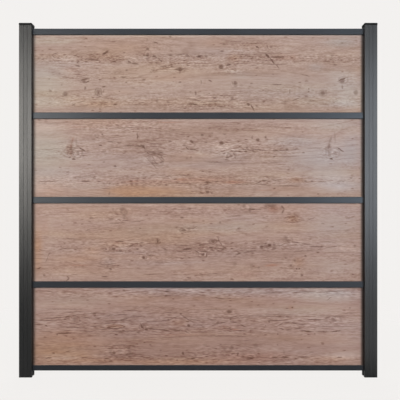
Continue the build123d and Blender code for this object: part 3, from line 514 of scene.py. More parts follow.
UPPER = (
    F("mottle", 120, 126, 92, 8, 0.42) + F("mottle", 250, 127, 72, 8, 0.28) + F("mottle", 170, 146, 150, 11, 0.32) + F("mottle", 228, 148, 24, 14, 0.36)
    + F("mottle", 72, 151, 22, 12, 0.55) + F("mottle", 155, 157, 24, 14, 0.3) + F("mottle", 262, 150, 46, 13, 0.4) + F("mottle", 200, 181, 300, 8, 0.55)
    + F("mottle", 200, 191, 26, 7, 0.4) + F("mottle", 330, 153, 16, 11, 0.5) + F("mottle", 200, 172, 160, 5, 0.12)
    + W(77.5, 152.5, 7, 7, 0.5) + W(156, 160, 13, 7, 0.3, -34) + W(229, 155.5, 7.5, 5.5, 0.42, 12) + W(190, 144, 8, 5, 0.35)
    + W(335, 153, 6, 6, 0.4) + W(104, 151, 6, 5, 0.25) + W(97, 136, 7, 5, 0.3)
    # painted sheen: the lighter beige fields at the board's left end in the next line, and the grey and glow fields at
    # its right end two lines down, stand in for the lamps' sheen near the ends
    +     F("glow", 38, 152, 50, 42, 0.17) + F("beige", 42, 152, 50, 34, 1.0) + F("glow", 38, 185, 60, 14, 0.14) + F("shade", 150, 148, 34, 18, 0.12)
    + F("tan", 100, 122, 62, 7, 0.35) + F("tan", 150, 191, 80, 12, 0.85) + F("tan", 125, 190, 26, 9, 0.3) + F("tan", 60, 192, 60, 9, 0.32)
    + F("tan", 225, 193, 50, 8, 0.4) + F("tan", 290, 188, 40, 9, 0.35) + F("grey", 322, 158, 62, 26, 0.95) + F("glow", 330, 150, 56, 34, 0.11)
    + F("grey", 215, 156, 70, 12, 0.35) + F("shade", 225, 191, 40, 8, 0.07) + F("shade", 125, 157, 12, 7, 0.06)
    + F("shade", 180, 133, 85, 12, 0.10) + F("glow", 84, 180, 46, 12, 0.10) + F("glow", 335, 181, 40, 14, 0.14) + F("grey", 335, 179, 40, 14, 0.5) + F("tan", 196, 180, 66, 11, 0.4)
    + F("shade", 153, 157, 15, 11, 0.09) + F("tan", 128, 190, 34, 9, 0.5) + F("red", 48, 189, 30, 11, 0.4) + F("glow", 46, 188, 34, 10, 0.14) + F("glow", 40, 128, 30, 8, 0.14) + F("glow", 84, 160, 30, 12, 0.08) + F("shade", 228, 127, 52, 8, 0.12) + F("shade", 132, 143, 36, 8, 0.07) + F("glow", 325, 125, 50, 8, 0.10) + F("grey", 300, 140, 44, 10, 0.3) + F("glow", 148, 158, 22, 6, 0.10) + F("tan", 190, 158, 50, 9, 0.6) + F("red", 150, 181, 130, 5, 0.3) + F("shade", 225, 143, 40, 6, 0.05) + F("grey", 290, 142, 34, 8, 0.35) + F("beige", 335, 126, 40, 9, 0.5) + F("glow", 300, 174, 60, 8, 0.06) + F("glow", 60, 172, 50, 8, 0.07) + F("grey", 345, 188, 34, 9, 0.4) + F("glow", 345, 188, 34, 9, 0.13) + F("grey", 352, 150, 16, 26, 0.5)
    + F("glow", 50, 127, 28, 8, 0.08) + F("glow", 116, 172, 22, 8, 0.08) + F("glow", 86, 188, 26, 8, 0.09) + F("glow", 325, 188, 36, 8, 0.08)
    # painted light: the long thin glow field at y 118.6 in the next line lightens the board's upper edge where the
    # rail's shadow falls
    + F("glow", 277, 142, 20, 7, 0.06) + F("shade", 213, 142, 20, 7, 0.05) + F("shade", 180, 160, 26, 10, 0.03) + F("shade", 232, 160, 54, 12, 0.05) + F("shade", 262, 172, 34, 7, 0.04) + F("glow", 197, 118.6, 420, 2.1, 0.26) + F("tan", 182, 172, 30, 7, 0.25)
   
   
    # left part
    + F("shade", 70.2, 147, 4.5, 13, 0.14) + F("red", 67.6, 150, 3.5, 8, 0.45) + S(1.6, 0.5, (73.6, 137), (71, 143.5), (70.2, 150), (71.4, 156.5), kind="red") + S(0.9, 0.2, (73, 138.5), (70.9, 145), (70.4, 151), (71.6, 156.5))
    + S(0.9, 0.2, (67.4, 146.5), (66.9, 156.4)) + D(73.6, 159, 1.6, 0.9, 0.8) + D(69.4, 157.3, 1.1, 0.8, 0.55)
    + S(0.9, 0.2, (76, 137), (76.3, 146)) + S(0.75, 0.75, (78.4, 147.4), (85.8, 151.6)) + S(0.4, 0.42, (62, 147.4), (79, 147.3))
    + S(0.4, 0.32, (36, 149.6), (66, 148.0)) + D(78, 153.6, 1.2, 1.4, 0.45) + D(83.4, 155.5, 0.8, 1.2, 0.32)
    + D(102.3, 134.5, 1.0, 0.9, 0.62) + D(97.2, 137.2, 1.6, 0.9, 0.5) + D(95, 135, 0.8, 0.7, 0.4)
    + D(100, 145.2, 1.6, 0.75, 0.85) + S(0.6, 0.5, (106, 141.4), (116, 142), (121, 143.4)) + D(119.6, 142.9, 1.3, 0.7, 0.6)
    + S(0.8, 0.5, (123, 145.8), (134, 145), (144, 147)) + S(0.55, 0.42, (110, 147.6), (123, 147)) + D(103, 152, 2.2, 1.1, 0.3) + D(105.2, 153.6, 1.8, 0.6, 0.35)
    + S(0.85, 0.58, (137, 132.6), (137.4, 139.2)) + D(143, 146.3, 1.2, 1.5, 0.75)
    + D(114.8, 166, 1.4, 1.0, 0.62) + D(104, 162, 1.3, 0.7, 0.42) + D(135.6, 163, 0.9, 0.8, 0.32)
    + S(0.5, 0.5, (35, 181.4), (61, 181.2)) + S(0.6, 0.66, (80, 181.3), (91, 181.3)) + D(94, 178, 1.8, 0.9, 0.55)
    + S(0.6, 0.55, (96, 181), (102, 182)) + S(0.55, 0.5, (66, 176.2), (86, 174.6), (105, 172.4), kind="light")
    + S(0.5, 0.4, (70, 177.7), (96, 176.4)) + S(0.5, 0.3, (58, 186), (76, 187.2)) + D(104, 183.4, 1.2, 0.8, 0.45) + D(109.5, 183.4, 1.2, 0.8, 0.45)
    + S(1.2, 0.8, (119, 182), (146, 181), kind="red") + S(0.5, 0.4, (100, 188.4), (112, 188.6)) + D(109, 193.5, 1.2, 1.6, 0.4)
    + S(0.5, 0.4, (36, 190), (58, 190.4), kind="red") + S(0.5, 0.35, (40, 124), (70, 122.5)) + S(0.6, 0.4, (60, 127.4), (105, 126.6), kind="red")
    + S(0.5, 0.35, (110, 128), (140, 127)) + D(131, 121.6, 1.6, 0.9, 0.35, kind="red")
    # middle
    + S(0.6, 0.36, (144, 150), (151, 155), (156, 162)) + S(0.5, 0.34, (146, 157), (152, 164), (157, 169)) + S(0.5, 0.34, (158, 157), (163.6, 163)) + S(0.6, 0.42, (148.6, 151.6), (157, 153.6), (164.6, 156.6)) + S(0.7, 0.42, (155, 150.8), (165, 153.2))
    + S(0.5, 0.4, (147.6, 159.4), (156.4, 167.4)) + S(0.5, 0.38, (151.8, 158.8), (159.4, 166)) + S(0.7, 0.45, (159.6, 163.4), (164, 160.8))
    + S(0.6, 0.45, (156.4, 156.6), (162.4, 162.4), kind="light") + S(0.6, 0.45, (149.8, 163), (156, 168.6), kind="light")
    + S(0.6, 0.45, (160, 156), (165, 160.4)) + D(153, 160.2, 1.2, 0.9, 0.4) + S(0.5, 0.55, (153, 156), (160, 161.4), kind="light") + S(0.5, 0.55, (143, 157), (150, 161), kind="light") + S(0.8, 0.62, (140.6, 144.4), (145.4, 149.2))
    + S(0.55, 0.42, (149, 143.2), (161, 143.6)) + D(170, 141, 1.7, 0.8, 0.52) + S(0.45, 0.32, (146, 150), (152, 152))
    + S(1.15, 0.75, (190, 140.2), (193.6, 143.2)) + D(184, 145.3, 1.8, 0.8, 0.55) + S(0.7, 0.62, (186, 147), (188.4, 149.4), (197, 149.9))
    + D(202, 134.8, 1.7, 1.3, 0.65) + D(206, 142.3, 1.4, 0.7, 0.6) + D(212.4, 133, 1.2, 0.7, 0.42) + D(224.2, 134, 2.0, 0.8, 0.52)
    + F("light", 223, 145, 13, 9, 0.5) + S(1.5, 0.75, (213, 150.6), (221.5, 150.4), kind="light") + D(221.6, 142.9, 2.3, 2.0, 1.0) + F("light", 217, 147, 9, 5, 0.5) + F("light", 226, 141.5, 6, 4, 0.45)
    + D(227.6, 157.4, 1.5, 0.7, 0.7) + D(231.8, 156, 0.9, 0.9, 0.55) + S(0.6, 0.6, (223, 154), (226, 152.6), (230, 153)) + S(0.6, 0.55, (225, 159.4), (230, 160.2)) + S(0.55, 0.45, (233, 152), (235, 156)) + F("light", 228, 152, 10, 7, 0.55) + F("light", 231, 159, 6, 4, 0.4) + D(235.2, 157.6, 1.0, 0.8, 0.5) + D(246.8, 147.8, 1.3, 0.8, 0.52)
    + S(0.45, 0.4, (238, 149), (255, 151)) + S(0.45, 0.36, (236, 158), (249, 158)) + S(0.5, 0.5, (229, 149.6), (238, 152))
    + D(186.8, 158.2, 1.1, 0.9, 0.35) + D(191, 157.2, 1.2, 1.2, 0.35) + S(0.55, 0.42, (204, 161.4), (226, 163))
    + F("light", 203, 155.5, 22, 4, 0.35) + S(1.9, 1.0, (172, 179.3), (191, 179.6), kind="red") + F("red", 205, 180, 50, 5, 0.4) + F("shade", 205, 180.5, 50, 5, 0.07) + D(175.4, 179.2, 1.7, 0.8, 0.6)
    + S(0.5, 0.42, (164.6, 177.6), (172, 174.6), (196, 176)) + S(0.5, 0.42, (170, 182.6), (200, 184.2), (216, 186))
    + S(2.2, 1.0, (216, 181.8), (250, 182.2), kind="red") + S(1.0, 0.55, (204.5, 182.2), (211.5, 182.6)) + S(0.5, 0.45, (211, 181.6), (228, 181)) + S(0.5, 0.45, (228, 184.6), (254, 183.6))
    + D(165.6, 184.8, 1.4, 0.8, 0.62) + D(207.6, 192, 1.7, 1.3, 0.7) + D(212.2, 193, 1.1, 1.0, 0.45) + D(252.4, 137.2, 1.1, 1.5, 0.52)
    + S(0.5, 0.42, (146, 187), (176, 189), kind="red") + S(0.5, 0.4, (168, 130.4), (182, 129.6)) + S(0.5, 0.6, (146, 123), (190, 122), kind="red")
    # right part
    + D(257.8, 139.8, 1.9, 1.5, 0.8) + D(265.8, 137, 1.1, 1.4, 0.65) + S(0.55, 0.52, (249, 149.5), (270, 150.4), (293, 150.8))
    + S(0.7, 0.65, (271.6, 150.5), (279.6, 151)) + D(287.2, 149.4, 1.4, 1.5, 0.62) + S(0.5, 0.62, (291, 149), (300, 149.2)) + S(0.5, 0.42, (304, 148), (324, 148.1))
    + D(303.6, 152.7, 1.6, 0.8, 0.52) + D(253.2, 150.8, 1.1, 0.9, 0.5) + D(274.4, 156.8, 1.6, 0.7, 0.6) + S(0.45, 0.4, (276, 157), (301, 156))
    + S(0.5, 0.42, (269, 162.2), (279, 162.6)) + D(275, 144.3, 1.3, 0.5, 0.5) + D(264.4, 162.6, 1.0, 0.6, 0.4)
    + F("shade", 329, 147, 4.5, 14, 0.14) + S(1.2, 0.3, (331.8, 136.6), (329.4, 143), (328.4, 149.5), (329.4, 155.5)) + S(1.2, 0.16, (326.2, 147), (326, 157)) + D(331.6, 159, 1.7, 0.8, 0.75)
    + S(0.75, 0.7, (336.4, 147), (344.2, 151.8)) + K(336, 154, 3.9, 0.28) + S(1.2, 0.18, (334.6, 131), (335.4, 143))
    + S(0.6, 0.55, (255.6, 183.6), (262, 181), (268, 180)) + S(0.6, 0.5, (256, 183.8), (270, 185.4), (302, 186.2)) + S(0.6, 0.55, (270, 180), (281, 180.2))
    + F("tan", 296, 180, 13, 5, 0.6) + F("shade", 297, 180, 10, 3.5, 0.16) + D(305.4, 181, 1.4, 0.9, 0.6) + D(312, 181.2, 1.3, 0.9, 0.6)
    + S(0.5, 0.5, (317, 181.5), (328, 181.9)) + S(0.5, 0.42, (337, 181), (347, 181.2)) + D(351, 177.8, 1.7, 0.7, 0.48) + D(318.4, 194, 1.2, 0.8, 0.42)
    + S(0.5, 0.4, (258, 176), (276, 177)) + S(0.6, 0.5, (249, 190.5), (285, 190), kind="red") + S(0.5, 0.42, (290, 177.4), (304, 174.8), kind="light")
)
UPPER_WARPS = [(222, 143.5, 12, 8, 0.7), (228.5, 156, 12, 7, 0.6), (155, 159, 18, 12, 0.7), (191, 142, 11, 7, 0.6), (70, 150, 10, 14, 0.5), (329, 150, 10, 14, 0.5)]

LOWER = (
    F("mottle", 200, 213, 300, 11, 0.1) + F("mottle", 112, 217, 30, 8, 0.3) + F("mottle", 186, 229, 16, 7, 0.5) + F("mottle", 200, 247, 300, 9, 0.26)
    + F("mottle", 128, 247, 30, 8, 0.3) + F("mottle", 207, 250, 22, 10, 0.3) + F("mottle", 148, 256, 14, 7, 0.5) + F("mottle", 272, 246, 20, 8, 0.25)
    + F("mottle", 290, 218, 14, 9, 0.3) + F("mottle", 108, 268, 16, 11, 0.35) + F("mottle", 295, 265, 18, 11, 0.35) + F("mottle", 60, 272, 32, 9, 0.28)
    + F("mottle", 290, 240, 16, 7, 0.3)
    + W(124, 212, 9, 6, 0.4) + W(184.5, 230, 8, 5, 0.4) + W(203, 254.5, 6, 5, 0.55) + W(213, 241.5, 7, 5, 0.5) + W(144.5, 257.5, 6, 4.5, 0.5)
    + W(220, 248, 8, 6, 0.3) + W(270, 246, 9, 5, 0.3) + W(273, 208, 11, 5, 0.3) + W(288, 240, 7, 4.5, 0.35) + W(293, 218, 7, 5, 0.12)
    + W(246, 208, 8, 6, 0.35) + W(157.6, 241.5, 5, 6, 0.35) + W(112, 249, 10, 5, 0.3) + W(106, 262, 8, 8, 0.25)
    +     F("glow", 60, 222, 60, 22, 0.05) + F("shade", 205, 248, 130, 11, 0.11) + F("tan", 80, 266, 70, 18, 0.35) + F("tan", 37, 248, 9, 36, 0.85) + F("grey", 230, 228, 70, 9, 0.35) + F("tan", 95, 257, 60, 7, 0.35)
    # painted sheen: the grey and glow fields at the board's right end in the next line, and the glow field at x 44 at
    # its left end below, stand in for the lamps' sheen near the ends
    + F("grey", 335, 225, 50, 28, 0.7) + F("glow", 336, 222, 46, 28, 0.09) + F("grey", 245, 222, 50, 16, 0.4) + F("tan", 290, 206, 40, 8, 0.25)
    + F("grey", 185, 228, 80, 9, 0.4) + F("grey", 140, 232, 30, 9, 0.25) + F("tan", 175, 257, 70, 7, 0.4) + F("tan", 92, 250, 17, 6, 0.45) + F("glow", 92, 249, 15, 5, 0.08) + F("shade", 62, 246, 13, 6, 0.07)
    + F("tan", 299, 262, 10, 8, 0.45) + F("tan", 293, 218.5, 10, 7.5, 0.5) + F("shade", 293, 218.5, 10, 8, 0.17) + F("mottle", 293, 218.5, 11, 8, 0.25) + F("red", 45, 227, 6, 13, 0.3)
    + F("red", 245, 275, 26, 6, 0.3) + F("grey", 108, 262, 10, 8, 0.35) + F("shade", 140, 264, 80, 16, 0.03)
    # painted light: the long thin glow field at y 203.2 in the next line lightens the board's upper edge where the
    # rail's shadow falls
    + F("glow", 44, 236, 30, 40, 0.08) + F("shade", 160, 212, 60, 8, 0.07) + F("shade", 236, 211, 40, 6, 0.07) + F("glow", 240, 229, 120, 7, 0.06) + F("glow", 246, 242, 20, 7, 0.08) + F("glow", 197, 203.2, 420, 2.6, 0.24) + F("tan", 116, 243, 22, 7, 0.25) + F("glow", 130, 272, 34, 7, 0.06) + F("glow", 277, 272, 22, 7, 0.06) + F("tan", 196, 272, 34, 7, 0.25) + F("glow", 62, 274, 44, 8, 0.14) + F("glow", 341, 248, 34, 12, 0.10) + F("shade", 160, 246, 34, 7, 0.06) + F("glow", 335, 266, 42, 15, 0.13) + F("grey", 335, 266, 42, 15, 0.35)
   
   
    # left part
    + D(122.2, 209, 3.4, 1.6, 0.5) + S(1.8, 0.26, (124.6, 211.5), (123.8, 219.5)) + D(130, 209.4, 1.3, 1.6, 0.55, kind="light")
    + S(0.55, 0.45, (116.6, 218.8), (121, 221), (129, 220.4)) + S(0.5, 0.5, (108, 223.6), (127, 222.6), (146, 220.4))
    + D(111, 219, 2.4, 1.1, 0.5) + D(91, 218, 1.9, 0.9, 0.42) + D(113, 209.4, 1.1, 1.8, 0.26) + S(0.6, 0.42, (85, 230.7), (90.4, 229.4)) + D(140, 228.5, 1.3, 0.7, 0.5)
    + D(61.5, 225, 1.0, 0.6, 0.35) + S(0.6, 0.68, (115.6, 241.5), (124.6, 241.4)) + D(113.6, 249, 2.0, 1.4, 0.78) + D(120, 250.8, 1.6, 1.3, 0.7)
    + D(105.8, 249, 1.3, 0.9, 0.6) + D(137, 249, 1.7, 0.9, 0.6) + S(0.7, 0.52, (127.6, 246.4), (135.4, 244.8)) + D(140.6, 246, 1.4, 0.9, 0.55) + D(142, 242.6, 1.6, 0.7, 0.5)
    + D(64.2, 243.3, 1.1, 0.7, 0.45) + D(61, 246.6, 1.0, 0.8, 0.4) + S(0.45, 0.4, (63, 238.8), (78, 238.6)) + S(0.5, 0.4, (58, 249), (72, 248.4))
    + S(0.55, 0.4, (50.4, 251.6), (47.6, 257), (45.4, 262.4)) + S(0.7, 0.68, (36, 269), (41.4, 267.8)) + S(0.5, 0.35, (38, 248.8), (44, 250.6))
    + S(0.6, 0.68, (101, 276.3), (107.6, 276.5)) + D(110.4, 269, 1.3, 1.0, 0.65) + S(0.7, 0.55, (66.6, 276.4), (69.2, 278), (66, 281)) + D(44.2, 275.4, 1.4, 1.1, 0.52)
    + D(51.2, 277.6, 0.8, 0.7, 0.8, kind="light") + S(0.45, 0.4, (99, 264.6), (117, 264)) + S(0.45, 0.35, (71, 275.2), (79, 273.8)) + S(0.45, 0.35, (88, 272), (97, 274.2))
    + D(143.5, 257.8, 1.6, 1.4, 0.82) + S(0.7, 0.55, (146.8, 255.2), (152.4, 255.6)) + S(0.5, 0.6, (60, 265.5), (96, 265), kind="red")
    # middle
    + K(157.6, 241.6, 2.8, 0.6) + D(157.4, 240.8, 1.2, 2.3, 0.75) + D(182, 217.8, 1.9, 1.0, 0.62) + S(0.5, 0.5, (191, 222.3), (199, 222))
    + D(183.5, 230.3, 2.6, 1.3, 0.66) + S(0.6, 0.45, (187.6, 227.8), (192, 228.8), (197.6, 226))
    + S(0.7, 0.55, (162, 248.6), (168, 249.7)) + S(0.45, 0.45, (174, 245.6), (193, 245.5)) + S(1.0, 0.72, (181.4, 249.7), (192.6, 248.5))
    + S(0.55, 0.48, (199, 244.6), (211, 243.4)) + S(0.45, 0.4, (174, 252.2), (192, 251)) + S(0.45, 0.38, (158, 258.2), (196, 257.4)) + D(200.6, 245, 1.4, 1.0, 0.45)
    + D(213, 241.2, 2.2, 1.7, 0.8) + S(0.65, 0.5, (217.6, 237.6), (219.6, 242), (222.4, 246), (226, 248.2)) + D(211, 247.8, 2.3, 0.8, 0.7) + D(222.6, 249.6, 1.6, 1.0, 0.42)
    + D(203, 254.5, 1.5, 1.3, 0.97) + S(0.8, 0.7, (200.8, 248.6), (206.8, 248.5), kind="light") + S(0.65, 0.55, (206.8, 252.4), (206.2, 257.8)) + S(0.6, 0.5, (200, 251.8), (199.8, 256.4), kind="light")
    + S(0.6, 0.38, (194, 249.6), (200, 254)) + S(0.5, 0.45, (226.6, 216.7), (244, 215)) + D(250, 210, 1.6, 2.6, 0.5) + D(244, 206, 1.7, 1.7, 0.5)
    + D(220, 222.5, 1.0, 1.3, 0.42) + S(0.75, 0.66, (235.4, 254.4), (241, 253.1)) + S(0.55, 0.5, (241, 253.1), (256, 250.4)) + D(235, 256.5, 1.6, 0.6, 0.4)
    + D(234.6, 264, 2.0, 2.0, 0.25) + D(251.6, 266, 1.4, 2.4, 0.26) + D(188, 277.6, 1.3, 0.8, 0.5) + D(200.6, 273.8, 1.5, 0.7, 0.4) + S(0.45, 0.4, (206, 274), (222, 273.6))
    + S(0.5, 0.45, (141, 274.8), (160, 274.2)) + D(166, 250, 2.2, 1.0, 0.3) + S(0.45, 0.34, (150, 262), (182, 262.4)) + S(0.5, 0.35, (170, 210), (199, 208.6))
    # right part
    + D(271.5, 205.6, 5.2, 1.4, 0.55) + F("red", 274, 209.5, 9, 5, 0.65) + F("shade", 273, 208.5, 11, 6, 0.12) + S(1.0, 0.5, (281.4, 205.6), (284.2, 209.6), (282, 213.4)) + D(266, 206, 1.6, 1.4, 0.42)
    + D(288, 240.7, 3.2, 1.5, 0.55) + D(285.8, 238, 2.6, 2.2, 0.42) + S(0.75, 0.55, (290.6, 241.6), (301, 243)) + S(0.6, 0.42, (300, 243), (313, 245.2))
    + S(0.65, 0.52, (309, 246.2), (323, 247.2)) + D(321.8, 246.8, 1.7, 1.0, 0.55) + D(261.6, 247, 2.0, 1.8, 0.66) + D(269.6, 245, 2.1, 1.3, 0.9) + D(267, 246.4, 5.5, 2.8, 0.3) + D(265.6, 243.4, 1.2, 0.8, 0.5) + D(274.6, 244.6, 1.4, 1.6, 0.42)
    + D(272.4, 242.6, 0.9, 0.9, 0.9, kind="light") + D(275.6, 245.6, 0.9, 0.7, 0.8, kind="light") + D(274.2, 248.2, 2.4, 1.3, 0.48) + S(0.5, 0.45, (276, 245.8), (284, 244.8))
    + S(0.5, 0.45, (288, 251.6), (317, 250.6), (322, 248.2), (346, 245)) + S(0.45, 0.36, (321, 241), (337, 242.6)) + D(355, 246, 1.3, 0.8, 0.52) + F("light", 346, 248, 14, 4, 0.45)
    + D(305.5, 256.2, 1.4, 0.9, 0.66) + D(295, 260.5, 1.6, 1.5, 0.52) + D(291, 265.3, 1.5, 0.8, 0.55) + D(297, 268.9, 0.8, 0.7, 0.95) + D(299.2, 268.8, 0.8, 0.7, 0.95)
    + D(302, 275.2, 1.4, 1.2, 0.65) + D(286, 257.8, 1.2, 0.9, 0.42) + D(258.6, 267.6, 1.4, 1.2, 0.4) + S(1.5, 0.8, (263, 265.6), (281, 265.1), kind="red")
    + D(264, 217.6, 1.7, 0.7, 0.42) + F("light", 262, 219, 13, 3, 0.4) + S(0.5, 0.42, (307, 220.4), (316, 217)) + S(0.5, 0.38, (345, 218.2), (354, 218)) + S(0.5, 0.38, (344, 230.7), (351, 230))
    + S(0.5, 0.4, (249, 209), (262, 209.6)) + S(0.45, 0.38, (288, 262.6), (262, 262.8)) + D(323, 223.6, 1.6, 0.6, 0.35) + S(0.5, 0.36, (322, 252), (356, 252.6))
)
LOWER_WARPS = [(124, 212, 16, 10, 0.7), (213, 241.5, 11, 6, 0.7), (203, 254.5, 11, 6, 0.7), (271, 207, 14, 8, 0.7), (269.5, 246, 12, 7, 0.6), (157.6, 241.5, 9, 6, 0.6), (293, 219, 13, 8, 0.6)]

